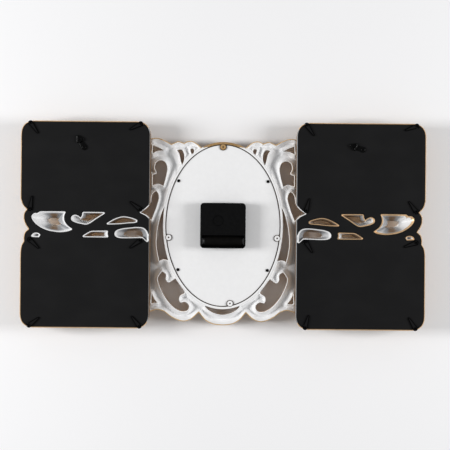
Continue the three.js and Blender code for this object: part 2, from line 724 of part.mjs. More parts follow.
// Case, cover, battery, contacts, circuit board and setting wheel
function buildMovement() {
  const square = rectangle(case_side, case_side, 0, 0, case_corner);
  const inner_side = case_side - 2 * case_wall;
  const works_bottom = bay_z + bay_height / 2 + case_wall;
  const works_height = case_side / 2 - case_wall - works_bottom;
  const works_z = works_bottom + works_height / 2;
  const works = cut(
    slab(rectangle(inner_side, works_height, 0, works_z), case_rear - case_wall, case_front - overrun),
    rod(knob_radius + fit_gap + case_wall, case_rear, knob_floor - case_wall, knob_place, knob_place),
  );
  piece('movement_case', cut(
    softSquare(square),
    works,
    slab(rectangle(bay_length, bay_height, 0, bay_z), case_rear + overrun, case_front - overrun),
    rod(knob_radius + fit_gap, case_rear + overrun, knob_floor, knob_place, knob_place),
    rod(knob_shaft_radius + fit_gap, case_rear, knob_floor - case_wall - overrun, knob_place, knob_place),
  ), black_gloss);
  piece('movement_cover', cut(
    slab(square, cover_rear, cover_front),
    rod(bush_radius + seat_gap, cover_rear + overrun, cover_front - overrun),
  ), black_gloss);
  const barrel_length = battery_length - battery_nub_length;
  piece('battery', joined(
    crossRod(battery_radius, barrel_length, -battery_nub_length / 2, battery_y, bay_z),
    crossRod(battery_nub_radius, battery_length, 0, battery_y, bay_z, small_sides),
  ), steel);
  for (const [name, side] of [['battery_contact_plus', 1], ['battery_contact_minus', -1]]) {
    const x = side * (bay_length / 2 - seat_gap - contact_thickness / 2);
    piece(name, slab(rectangle(contact_thickness, contact_width, x, bay_z), battery_y + contact_depth / 2,
      battery_y - contact_depth / 2), brass);
  }
  const board_x = -(inner_side / 2 - fit_gap - board_plate_width / 2);
  const board_z = case_side / 2 - case_wall - fit_gap - board_plate_height / 2;
  const board_rear = case_front + fit_gap + board_plate_thickness;
  piece('circuit_board', joined(
    slab(rectangle(board_plate_width, board_plate_height, board_x, board_z), board_rear,
      board_rear - board_plate_thickness),
    crossRod(coil_radius, coil_length, board_x, board_rear + coil_radius - board_plate_thickness / 2,
      board_z, small_sides),
  ), green_board);
  const washer_front = washer_rear - washer_thickness;
  piece('rubber_washer', cut(
    rod(washer_radius, washer_rear, washer_front),
    rod(bush_radius + fit_gap, washer_rear + overrun, washer_front - overrun),
  ), dark_rubber);
}

// The case's block, with its rear edge rounded off
function softSquare(square) {
  const block = pillow(square, case_rear, case_front - 2 * fit_gap, fit_gap);
  return block.subtract(slab(grown(square, overrun), case_front, case_front - overrun));
}

// A wheel with a tube or pin that runs forward along the clock's axis
function wheelWithTube(wheel, tube_radius, bore, rear, reach) {
  const body = joined(wheel, rod(tube_radius, rear, reach));
  return bore ? cut(body, rod(bore, rear + overrun, reach - overrun)) : body;
}

function buildWheelsAndHands() {
  const flange_rear = case_front + bush_flange_thickness;
  const bush_front = shoulder_y - bush_reach;
  piece('shaft_bush', cut(
    joined(rod(bush_flange_radius, flange_rear, case_front), rod(bush_radius, flange_rear, bush_front)),
    rod(bush_bore, flange_rear + overrun, bush_front - overrun),
  ), brass);
  const nut_front = shoulder_y - nut_thickness;
  piece('bush_nut', cut(
    rod(nut_radius, shoulder_y, nut_front, 0, 0, nut_sides),
    rod(bush_radius + seat_gap, shoulder_y + overrun, nut_front - overrun),
  ), brass);

  const hour_hand_rear = bush_front - fit_gap;
  const minute_hand_rear = hour_hand_rear - hand_spacing;
  const second_hand_rear = minute_hand_rear - hand_spacing;
  const hour_wheel_rear = flange_rear + fit_gap + wheel_thickness;
  const minute_wheel_rear = hour_wheel_rear + hand_spacing;
  const second_wheel_rear = minute_wheel_rear + hand_spacing + fit_gap;
  const toward_knob = Math.PI / 4;
  piece('hour_wheel', wheelWithTube(
    rod(hour_wheel_radius, hour_wheel_rear, hour_wheel_rear - wheel_thickness), hour_tube_radius,
    hour_tube_bore, hour_wheel_rear, hour_hand_rear - hand_thickness - fit_gap), white_plastic);
  piece('minute_wheel', wheelWithTube(
    slab(gearOutline(minute_teeth, toward_knob), minute_wheel_rear, minute_wheel_rear - wheel_thickness),
    minute_tube_radius, minute_tube_bore, minute_wheel_rear,
    minute_hand_rear - hand_thickness - fit_gap), brass);
  piece('second_wheel', wheelWithTube(
    rod(second_wheel_radius, second_wheel_rear, second_wheel_rear - wheel_thickness), second_pin_radius, 0,
    second_wheel_rear, second_hand_rear - second_hand_thickness - fit_gap), white_plastic);

  const pinion_gap = Math.PI / pinion_teeth;
  const pinion = slab(gearOutline(pinion_teeth, toward_knob + Math.PI + pinion_gap),
    minute_wheel_rear + seat_gap, minute_wheel_rear - wheel_thickness - seat_gap);
  const setter = piece('time_set_wheel', joined(
    rod(knob_radius, case_rear + fit_gap, knob_floor + fit_gap),
    rod(knob_shaft_radius, case_rear, minute_wheel_rear - wheel_thickness - seat_gap, 0, 0, small_sides),
    pinion,
  ), black_gloss);
  setter.position.set(knob_place, 0, knob_place);

  const second_turn = (2 * Math.PI * shown_second) / dial_minutes;
  const minute_turn = (2 * Math.PI * shown_minute + second_turn) / dial_minutes;
  const hour_turn = (2 * Math.PI * shown_hour + minute_turn) / dial_hours;
  const hands = [
    { name: 'hour_hand', shares: hour_hand_shares, width: hour_hand_width, length: hour_hand_length,
      rear: hour_hand_rear, thickness: hand_thickness, hole: hour_tube_radius, hub: hub_shares.hour,
      turn: hour_turn },
    { name: 'minute_hand', shares: minute_hand_shares, width: minute_hand_width, length: minute_hand_length,
      rear: minute_hand_rear, thickness: hand_thickness, hole: minute_tube_radius, hub: hub_shares.minute,
      turn: minute_turn },
    { name: 'second_hand', shares: second_hand_shares, width: second_hand_width, length: second_hand_length,
      rear: second_hand_rear, thickness: second_hand_thickness, hole: second_pin_radius,
      hub: hub_shares.second, turn: second_turn },
  ];
  for (const hand of hands) {
    const right = hand.shares.map(([x, z, corner]) => [(x * hand.width) / 2, z * hand.length, corner]);
    const left = right.slice(0, -1).map(([x, z, corner]) => [-x, z, corner]).reverse();
    const front = hand.rear - hand.thickness;
    const blade = slab(outlineThrough([...right, ...left], fine_step), hand.rear, front);
    const hub = rod(hand.hole * hand.hub, hand.rear, front);
    const mesh = piece(hand.name, cut(joined(blade, hub),
      rod(hand.hole + seat_gap / 2, hand.rear + overrun, front - overrun)), black_metal);
    mesh.rotation.y = hand.turn;
  }
}

buildScrollCentre();
buildOval();
Object.keys(wing_side).forEach(buildWing);
buildMovement();
buildWheelsAndHands();

export default clock;
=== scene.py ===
"""Looks for a photo frame wall clock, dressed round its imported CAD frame.

The clock hangs on the plane Y = 0, its front faces -Y and Z is up, as in the CAD. Sizes in the
classes are millimetres, and every mesh is scaled to metres when it is made. The pierced mouldings,
the boards and the oval plate are cast sheets whose levels follow the distance to every edge, which
Blender's tools can't give, so they are made from their outlines in mesh code, and so are the swept
rings and the dial's print. The other pieces are modelled with Blender's own tools.
"""

import logging
import math
from contextlib import contextmanager
from dataclasses import dataclass, field
from enum import Enum
from typing import Callable, Iterable, Iterator

import bmesh
import bpy
import numpy as np
from mathutils import Matrix, Vector
from mathutils.geometry import delaunay_2d_cdt


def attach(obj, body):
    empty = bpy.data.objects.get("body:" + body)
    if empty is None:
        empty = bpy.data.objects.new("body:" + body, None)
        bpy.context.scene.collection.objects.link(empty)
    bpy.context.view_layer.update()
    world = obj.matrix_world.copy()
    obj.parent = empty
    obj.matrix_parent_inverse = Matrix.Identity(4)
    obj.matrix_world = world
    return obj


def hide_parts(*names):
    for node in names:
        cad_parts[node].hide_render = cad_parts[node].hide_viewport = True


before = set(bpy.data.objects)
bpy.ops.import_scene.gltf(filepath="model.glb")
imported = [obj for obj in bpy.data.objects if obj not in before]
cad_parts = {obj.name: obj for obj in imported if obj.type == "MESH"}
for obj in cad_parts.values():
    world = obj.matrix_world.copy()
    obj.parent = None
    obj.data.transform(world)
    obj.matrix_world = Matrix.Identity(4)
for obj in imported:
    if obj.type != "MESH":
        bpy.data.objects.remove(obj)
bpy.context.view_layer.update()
log = logging.getLogger("wall_clock")

Array = np.ndarray
Outlines = list[Array]
Pair = tuple[float, float]
Numbers = tuple[float, ...]
Piece = bpy.types.Object
MM = 0.001
FULL_TURN = 2 * math.pi
QUARTER_TURN = math.pi / 2
CURVE_SAMPLES = 16
OVAL_SAMPLES = 720
POINTS_AT_ONCE = 1500


class Side(Enum):
    """The two wings, named as seen from the front."""

    RIGHT = 1
    LEFT = -1

    @property
    def word(self) -> str:
        """The side's name in node names."""
        return self.name.lower()


class Panel(Enum):
    """The two photo panels of a wing."""

    UPPER = 1
    LOWER = -1

    @property
    def word(self) -> str:
        """The panel's name in node names."""
        return self.name.lower()


# Outlines, as shares of the sizes that they follow; a third value of 1 marks a sharp corner
TOP_EDGE = [
    [0.31, 0.785, 1], [0.375, 0.825], [0.445, 0.848], [0.515, 0.84], [0.545, 0.825, 1],
    [0.625, 0.843], [0.72, 0.815, 1], [0.815, 0.852], [0.91, 0.875], [1, 0.87, 1],
]
BOTTOM_EDGE = [
    [1, -0.87, 1], [0.885, -0.85], [0.8, -0.868, 1], [0.695, -0.925], [0.545, -0.965],
    [0.435, -0.945], [0.325, -0.875, 1], [0.235, -0.95], [0.13, -0.99], [0, -1],
]
PIERCINGS = {
    "corner_slot": [[0.975, 0.8, 1], [0.98, 0.72, 1], [0.915, 0.745], [0.825, 0.75, 1],
                    [0.89, 0.775]],
    "top_slot": [[0.64, 0.755, 1], [0.58, 0.76], [0.545, 0.715], [0.545, 0.65], [0.57, 0.605, 1],
                 [0.59, 0.65], [0.61, 0.715]],
    "top_drop": [[0.455, 0.765], [0.42, 0.77], [0.405, 0.74], [0.435, 0.71, 1], [0.455, 0.745]],
    "kidney": [[0.975, 0.505, 1], [0.92, 0.52], [0.945, 0.57], [0.93, 0.625], [0.87, 0.65],
               [0.81, 0.635], [0.775, 0.58], [0.79, 0.495], [0.825, 0.395, 1], [0.895, 0.415],
               [0.975, 0.4, 1]],
    "tongue": [[0.925, 0.34], [0.89, 0.285], [0.915, 0.2], [0.955, 0.115], [0.99, 0.055, 1],
               [1.045, 0.095], [1.125, 0.125, 1], [1.06, 0.16], [1.005, 0.205], [0.975, 0.31]],
    "side_crescent": [[0.77, 0.24, 1], [0.845, 0.125], [0.895, -0.015], [0.915, -0.175],
                      [0.9, -0.275], [0.875, -0.36, 1], [0.825, -0.345], [0.7, -0.36, 1],
                      [0.7, 0.24, 1]],
    "comma": [[0.835, -0.465, 1], [0.785, -0.49], [0.78, -0.55], [0.745, -0.575],
              [0.65, -0.535, 1], [0.575, -0.61], [0.52, -0.675], [0.585, -0.71], [0.595, -0.75],
              [0.575, -0.775], [0.51, -0.77], [0.46, -0.805], [0.475, -0.85], [0.545, -0.865],
              [0.65, -0.835], [0.78, -0.735], [0.87, -0.605], [0.89, -0.53]],
    "foot_slot": [[0.975, -0.685, 1], [0.945, -0.735], [0.9, -0.78, 1], [0.98, -0.785, 1]],
}
FOOT_CRESCENT = [
    [0.235, -0.79, 1], [0.235, -0.815], [0.165, -0.86], [0.085, -0.885], [0, -0.895],
    [-0.085, -0.885], [-0.165, -0.86], [-0.235, -0.815], [-0.235, -0.79, 1],
]
STRIP_EDGE = [
    [1, 1.75, 1], [0.983, 1.31], [0.953, 1.01, 1], [0.972, 0.73], [0.975, 0.36], [0.961, -0.02],
    [0.938, -0.34, 1], [0.964, -0.56], [0.974, -0.88], [0.974, -1.19, 1], [0.99, -1.45],
    [0.998, -1.82], [1, -2.3, 1],
]
# Middle of the rim round each piercing of a wing's strip
STRIP_RIMS = {
    "scoop": [[0.854, 0.85, 1], [0.862, 0.72, 1], [0.888, 0.73], [0.904, 0.67], [0.911, 0.52],
              [0.906, 0.34], [0.884, 0.08], [0.845, -0.18], [0.799, -0.37], [0.744, -0.48],
              [0.688, -0.52], [0.629, -0.45], [0.597, -0.34, 1], [0.635, -0.1], [0.655, 0.13],
              [0.664, 0.38], [0.661, 0.65], [0.65, 0.86, 1]],
    "comma": [[0.52, 0.84, 1], [0.339, 0.83, 1], [0.413, 0.41], [0.466, 0.09], [0.492, 0.01],
              [0.529, 0.06], [0.572, 0.15], [0.6, 0.28], [0.607, 0.42], [0.598, 0.57],
              [0.577, 0.64], [0.555, 0.58], [0.534, 0.42, 1], [0.522, 0.62]],
    "leaf": [[0.341, 0.03, 1], [0.308, 0.21], [0.26, 0.43], [0.208, 0.55], [0.156, 0.5],
             [0.113, 0.38], [0.092, 0.27], [0.106, 0.18], [0.164, 0.13], [0.245, 0.06]],
    "step": [[0.526, -0.85, 1], [0.492, -0.65], [0.455, -0.46, 1], [0.323, -0.43, 1],
             [0.327, -0.65], [0.319, -0.86, 1]],
    "wedge": [[0.27, -0.65], [0.26, -0.44], [0.228, -0.31], [0.16, -0.22], [0.094, -0.17],
              [0.049, -0.22], [0.024, -0.41], [0.012, -0.69], [0.011, -0.94], [0.017, -1.18, 1],
              [0.038, -1.02], [0.055, -0.87, 1], [0.243, -0.87], [0.262, -0.78]],
    "cap": [[0.915, -0.86, 1], [0.902, -0.68], [0.877, -0.61], [0.853, -0.67], [0.843, -0.82],
            [0.85, -0.89, 1]],
}
# How far each piercing of a wing, in the same order and then the tongue, narrows towards the front,
# and the painted shade of its wall from the inner end to the outer end: 0 white, 1 grey, 2 brown
STRIP_WALLS = [
    (0.66, [0.9, 0.45, 1.0, 1.8, 1.9, 1.3, 0.5, 0.05, 0.0]),
    (0.45, [1.9, 1.9, 1.8, 1.3, 0.9, 0.8, 0.5, 0.1]),
    (0.4, [1.6, 2.0, 1.9, 1.9, 1.7]),
    (0.42, [0.2, 0.6, 1.0, 1.6, 2.0, 2.0]),
    (0.42, [0.9, 1.1, 1.7, 1.9, 1.6, 0.9, 0.5]),
    (0.95, [0.1, 0.0]),
    (0.08, [1.8, 1.8]),
]
# The curved crease between the upper scroll and the oval, on each side
CREASE = [[0.82, 0.755], [0.77, 0.725], [0.7125, 0.675], [0.672, 0.62], [0.651, 0.56],
          [0.648, 0.49]]


# Outlines and distances -------------------------------------------------------

def run_of(points: Array, closed: bool) -> Array:
    """Finely sampled centripetal curve through points.

    Args:
        points: places in X and Z.
        closed: whether the curve returns to its start.

    Returns:
        Many places along the curve; an open one keeps its last point.
    """
    count = len(points)

    def at(i: int) -> Array:
        """Looks up a point, mirrored beyond an open run's end.

        Args:
            i: its number, which may lie beyond the ends.

        Returns:
            Its place.
        """
        if closed:
            return points[i % count]
        if i < 0:
            return 2 * points[0] - points[1]
        return points[i] if i < count else 2 * points[-1] - points[-2]

    out = []
    for i in range(count if closed else count - 1):
        p = [at(i - 1), at(i), at(i + 1), at(i + 2)]
        knots = [0.0]
        for a, b in zip(p, p[1:]):
            knots.append(knots[-1] + max(math.sqrt(np.linalg.norm(a - b)), 1e-4))
        t = np.linspace(knots[1], knots[2], CURVE_SAMPLES, endpoint=False)[:, None]

        def mix(a: Array, b: Array, low: float, high: float) -> Array:
            """Blend of two places, from a at the knot low to b at the knot high."""
            return (high - t) / (high - low) * a + (t - low) / (high - low) * b

        first = [mix(p[k], p[k + 1], knots[k], knots[k + 1]) for k in range(3)]
        second = [mix(first[k], first[k + 1], knots[k], knots[k + 2]) for k in range(2)]
        out.append(mix(second[0], second[1], knots[1], knots[2]))
    samples = np.vstack(out)
    return samples if closed else np.vstack([samples, points[-1]])


def spaced(samples: Array, step: float, closed: bool) -> Array:
    """Places at equal steps along sampled points.

    Args:
        samples: the points to follow.
        step: about how far apart the places are.
        closed: whether the run returns to its start.

    Returns:
        The places, without the last point of an open run.
    """
    if closed:
        samples = np.vstack([samples, samples[0]])
    travel = np.concatenate([[0], np.cumsum(np.linalg.norm(np.diff(samples, axis=0), axis=1))])
    count = max(2, round(travel[-1] / step))
    marks = np.linspace(0, travel[-1], count, endpoint=False)
    return np.stack([np.interp(marks, travel, samples[:, k]) for k in range(2)], 1)


def outline_through(points: list[list[float]], step: float, closed: bool = True) -> Array:
    """Outline through points, smooth but for the marked corners.

    Args:
        points: places, with a third value of 1 at a sharp corner.
        step: spacing of the result.
        closed: whether it returns to its start; an open one ends at marked corners.

    Returns:
        The outline's points, without repeating the first.
    """
    places = np.array([point[:2] for point in points], float)
    corners = [i for i, point in enumerate(points) if len(point) > 2]
    if not corners:
        return spaced(run_of(places, True), step, True)
    out = []
    for k, corner in enumerate(corners if closed else corners[:-1]):
        last = corners[k + 1] if k + 1 < len(corners) else corners[0] + len(points)
        run = places[[i % len(points) for i in range(corner, last + 1)]]
        out.append(spaced(run if len(run) == 2 else run_of(run, False), step, False))
    return np.vstack(out)


def rounded_corners(corners: list[tuple[float, float, float]], step: float) -> Array:
    """Rounded corners of a polygon, without its straight runs.

    Args:
        corners: x, z and the length that the rounding takes of each side.
        step: spacing along a rounding.

    Returns:
        The points of all corners, in order.
    """
    out = []
    for i, (x, z, reach) in enumerate(corners):
        corner = np.array([x, z])
        before = np.array(corners[i - 1][:2]) - corner
        after = np.array(corners[(i + 1) % len(corners)][:2]) - corner
        start = corner + before / np.linalg.norm(before) * reach
        end = corner + after / np.linalg.norm(after) * reach
        if reach > 0:
            arc = 1.6 * reach
            t = np.linspace(0, 1, max(3, round(arc / step) + 1))[:, None]
            out.append((1 - t) ** 2 * start + 2 * t * (1 - t) * corner + t ** 2 * end)
        else:
            out.append(corner[None])
    return np.vstack(out)


def rounded_polygon(corners: list[tuple[float, float, float]], step: float) -> Array:
    """Polygon with rounded corners, its straight runs divided into steps."""
    return fill_in(rounded_corners(corners, step), step)


def fill_in(outline: Array, step: float) -> Array:
    """The same outline with its long straight runs divided.

    Args:
        outline: closed outline.
        step: about how long the new pieces of a run are.

    Returns:
        The outline with more points.
    """
    out = []
    for a, b in zip(outline, np.roll(outline, -1, axis=0)):
        count = max(1, round(np.linalg.norm(b - a) / step))
        out.append(a + (b - a) * (np.arange(count) / count)[:, None])
    return np.vstack(out)


def rectangle(x: float, z: float, width: float, height: float, step: float,
              corner: float = 0.0) -> Array:
    """Rectangle round a middle, with its corners rounded off."""
    w, h = width / 2, height / 2
    return rounded_polygon([(x - w, z - h, corner), (x + w, z - h, corner), (x + w, z + h, corner),
                            (x - w, z + h, corner)], step)


def oval(half_width: float, half_height: float, step: float) -> Array:
    """Ellipse round the clock's axis.

    Args:
        half_width: half its size along X.
        half_height: half its size along Z.
        step: spacing along it.

    Returns:
        The outline, anticlockwise.
    """
    turn = np.linspace(0, FULL_TURN, OVAL_SAMPLES, endpoint=False)
    rough = np.stack([half_width * np.cos(turn), half_height * np.sin(turn)], 1)
    return spaced(rough, step, True)


def circle(x: float, z: float, radius: float, count: int = 24) -> Array:
    """Round outline with a number of points."""
    turn = np.linspace(0, FULL_TURN, count, endpoint=False)
    return np.stack([x + radius * np.cos(turn), z + radius * np.sin(turn)], 1)


def signed_area(outline: Array) -> float:
    """Area inside an outline, positive where it runs anticlockwise."""
    x, z = outline.T
    return float(np.sum(x * np.roll(z, -1) - np.roll(x, -1) * z) / 2)


def distance_to(points: Array, loops: Outlines, closed: bool = True) -> Array:
    """Distance from each point to the nearest of some polylines.

    Args:
        points: places in X and Z.
        loops: the polylines.
        closed: whether each returns to its start.

    Returns:
        One distance a point.
    """
    starts = np.vstack([loop if closed else loop[:-1] for loop in loops])
    ends = np.vstack([np.roll(loop, -1, axis=0) if closed else loop[1:] for loop in loops])
    along = ends - starts
    length = np.maximum(np.einsum("ij,ij->i", along, along), 1e-12)
    out = np.empty(len(points))
    for low in range(0, len(points), POINTS_AT_ONCE):
        part = points[low:low + POINTS_AT_ONCE, None, :] - starts[None]
        share = np.clip(np.einsum("ijk,jk->ij", part, along) / length, 0, 1)
        part -= share[..., None] * along[None]
        out[low:low + POINTS_AT_ONCE] = np.sqrt(np.einsum("ijk,ijk->ij", part, part).min(1))
    return out


def inside(points: Array, loops: Outlines) -> Array:
    """Whether each point lies inside an odd number of loops.

    Args:
        points: places in X and Z.
        loops: closed outlines.

    Returns:
        One yes or no a point.
    """
    odd = np.zeros(len(points), bool)
    x, z = points.T
    for loop in loops:
        for (ax, az), (bx, bz) in zip(loop, np.roll(loop, -1, axis=0)):
            if az == bz:
                continue
            crosses = (az > z) != (bz > z)
            odd ^= crosses & (x < (bx - ax) * (z - az) / (bz - az) + ax)
    return odd


def moved_outline(outline: Array, distance: float) -> Array:
    """Outline moved outwards, without crossing itself.

    Args:
        outline: closed outline, in either direction.
        distance: how far; a negative one moves it inwards.

    Returns:
        The moved points; where the outline would cross itself they are left out.
    """
    fan_step, kept_share = 0.35, 0.985
    turn = math.copysign(1.0, signed_area(outline))
    before = outline - np.roll(outline, 1, axis=0)
    after = np.roll(outline, -1, axis=0) - outline
    normals = []
    for edge in (before, after):
        unit = edge / np.maximum(np.linalg.norm(edge, axis=1, keepdims=True), 1e-9)
        normals.append(np.stack([unit[:, 1], -unit[:, 0]], 1) * turn)
    out = []
    for point, first, last in zip(outline, *normals):
        bend = math.acos(max(-1.0, min(1.0, float(first @ last))))
        count = max(1, round(bend / fan_step))
        for share in (np.arange(count) + 0.5) / count:
            normal = first * (1 - share) + last * share
            normal /= max(np.linalg.norm(normal), 1e-6)
            out.append(point + normal * distance)
    moved = np.array(out)
    return moved[distance_to(moved, [outline]) > abs(distance) * kept_share]


def ridge(distance: Array, at: float, width: float) -> Array:
    """Soft ridge of height 1 at a distance, fading over a width to both sides."""
    return np.exp(-((distance - at) / width) ** 2)


# Meshes -----------------------------------------------------------------------

def new_piece(name: str, vertices: Array, faces: Iterable[Iterable[int]]) -> Piece:
    """Links a new object into the scene.

    Args:
        name: of the object and its mesh.
        vertices: places in millimetres.
        faces: the vertex numbers of each face.

    Returns:
        The object.
    """
    mesh = bpy.data.meshes.new(name)
    mesh.from_pydata((np.asarray(vertices) * MM).tolist(), [], [list(face) for face in faces])
    mesh.update()
    piece = bpy.data.objects.new(name, mesh)
    bpy.context.scene.collection.objects.link(piece)
    return piece


def only(piece: Piece) -> Piece:
    """Makes a piece the one selected and active object.

    Args:
        piece: the object.

    Returns:
        The same object.
    """
    bpy.ops.object.select_all(action="DESELECT")
    piece.select_set(True)
    bpy.context.view_layer.objects.active = piece
    return piece


@contextmanager
def editing(piece: Piece) -> Iterator[None]:
    """Keeps a piece in edit mode for as long as it lasts.

    Args:
        piece: the object.

    Yields:
        Nothing, once, while the piece is in edit mode.
    """
    only(piece)
    bpy.ops.object.mode_set(mode="EDIT")
    yield
    bpy.ops.object.mode_set(mode="OBJECT")


def face_out(piece: Piece) -> Piece:
    """Turns every face of a closed piece outwards.

    Args:
        piece: the object.

    Returns:
        The same object.
    """
    with editing(piece):
        bpy.ops.mesh.select_all(action="SELECT")
        bpy.ops.mesh.normals_make_consistent(inside=False)
    return piece


def smooth(piece: Piece, degrees: float = 35.0) -> Piece:
    """Shades a piece smooth.

    Args:
        piece: the object.
        degrees: edges sharper than this angle stay sharp.

    Returns:
        The same object.
    """
    only(piece)
    bpy.ops.object.shade_smooth_by_angle(angle=math.radians(degrees))
    return piece


def settle(piece: Piece) -> Piece:
    """Applies a piece's own place, so that its object sits at the origin.

    Args:
        piece: the object.

    Returns:
        The same object.
    """
    only(piece)
    bpy.ops.object.transform_apply(location=True, rotation=True, scale=True)
    return piece


def apply_modifier(piece: Piece, kind: str, **settings: object) -> Piece:
    """Adds a modifier and applies it.

    Args:
        piece: the object.
        kind: the modifier's type.
        **settings: its settings, by name.

    Returns:
        The same object.
    """
    only(piece)
    modifier = piece.modifiers.new(kind.title(), kind)
    for key, value in settings.items():
        setattr(modifier, key, value)
    bpy.ops.object.modifier_apply(modifier=modifier.name)
    return piece


def bevel(piece: Piece, width: float, segments: int = 2, degrees: float = 40.0) -> Piece:
    """Rounds a piece's sharp edges off by a width in millimetres."""
    return apply_modifier(piece, "BEVEL", width=width * MM, segments=segments, limit_method="ANGLE",
                          angle_limit=math.radians(degrees), use_clamp_overlap=True)


def join(name: str, pieces: list[Piece]) -> Piece:
    """Joins pieces into one.

    Args:
        name: of the joined piece.
        pieces: the objects.

    Returns:
        The joined object.
    """
    only(pieces[0])
    for piece in pieces[1:]:
        piece.select_set(True)
    bpy.ops.object.join()
    joined = bpy.context.view_layer.objects.active
    joined.name = joined.data.name = name
    return joined


def copy_of(piece: Piece, name: str, place: Matrix) -> Piece:
    """Copies a piece with its mesh.

    Args:
        piece: the model.
        name: of the copy.
        place: where the copy's points go, in metres.

    Returns:
        The copy, its object at the origin.
    """
    twin = bpy.data.objects.new(name, piece.data.copy())
    twin.data.name = name
    twin.data.transform(place)
    bpy.context.scene.collection.objects.link(twin)
    return twin


def select_where(piece: Piece, mode: str, test: Callable[[Vector, Vector], bool]) -> None:
    """In edit mode, selects the faces or vertices whose middle and normal pass a test.

    Args:
        piece: the piece, already in edit mode.
        mode: "FACE" or "VERT".
        test: says yes for a middle in millimetres and a normal.
    """
    bpy.ops.mesh.select_mode(type=mode)
    bpy.ops.mesh.select_all(action="DESELECT")
    edit = bmesh.from_edit_mesh(piece.data)
    items = edit.faces if mode == "FACE" else edit.verts
    edit.normal_update()
    for item in items:
        middle = item.calc_center_median() if mode == "FACE" else item.co
        item.select = bool(test(middle / MM, item.normal))
    edit.select_flush_mode()
    bmesh.update_edit_mesh(piece.data)


def cylinder(radius: float, length: float, middle: Iterable[float], turn: Numbers,
             sides: int) -> Piece:
    """Makes a round blank.

    Args:
        radius: its radius.
        length: its length.
        middle: its middle.
        turn: its rotation from an axis along Z.
        sides: how many flats it has.

    Returns:
        The blank, active and alone selected.
    """
    bpy.ops.mesh.primitive_cylinder_add(
        vertices=sides, radius=radius * MM, depth=length * MM,
        location=[value * MM for value in middle], rotation=turn)
    return settle(bpy.context.active_object)


def disc(radius: float, rear: float, front: float, x: float = 0.0, z: float = 0.0,
         sides: int = 48) -> Piece:
    """Round blank along Y between two levels."""
    return cylinder(radius, rear - front, (x, (rear + front) / 2, z), (QUARTER_TURN, 0, 0), sides)


def bar(radius: float, length: float, middle: Iterable[float], sides: int = 48) -> Piece:
    """Round blank along X round a middle."""
    return cylinder(radius, length, middle, (0, QUARTER_TURN, 0), sides)


def raise_all(height: float) -> None:
    """In edit mode, extrudes the whole mesh along Y by a height."""
    bpy.ops.mesh.select_all(action="SELECT")
    bpy.ops.mesh.extrude_region_move(TRANSFORM_OT_translate={"value": (0, height * MM, 0)})


def flat_disc(radius: float, level: float, sides: int) -> Piece:
    """Makes one round face across the Y axis.

    Args:
        radius: its radius.
        level: its level.
        sides: how many edges it has.

    Returns:
        The face, active and alone selected.
    """
    bpy.ops.mesh.primitive_circle_add(vertices=sides, radius=radius * MM, fill_type="NGON",
                                      location=(0, level * MM, 0), rotation=(QUARTER_TURN, 0, 0))
    return settle(bpy.context.active_object)


def block(low: tuple[float, float, float], high: tuple[float, float, float]) -> Piece:
    """Makes a box.

    Args:
        low: one corner.
        high: the opposite corner.

    Returns:
        The box, active and alone selected.
    """
    middle = [(a + b) / 2 * MM for a, b in zip(low, high)]
    bpy.ops.mesh.primitive_cube_add(size=1.0, location=middle)
    made = bpy.context.active_object
    made.scale = [abs(b - a) * MM for a, b in zip(low, high)]
    return settle(made)


def drilled(piece: Piece, tools: list[Piece]) -> Piece:
    """Cuts tool shapes out of a piece, and deletes the tools.

    Args:
        piece: the object.
        tools: closed shapes.

    Returns:
        The same object.
    """
    for tool in tools:
        apply_modifier(piece, "BOOLEAN", operation="DIFFERENCE", object=tool, solver="EXACT")
        bpy.data.objects.remove(tool)
    return piece


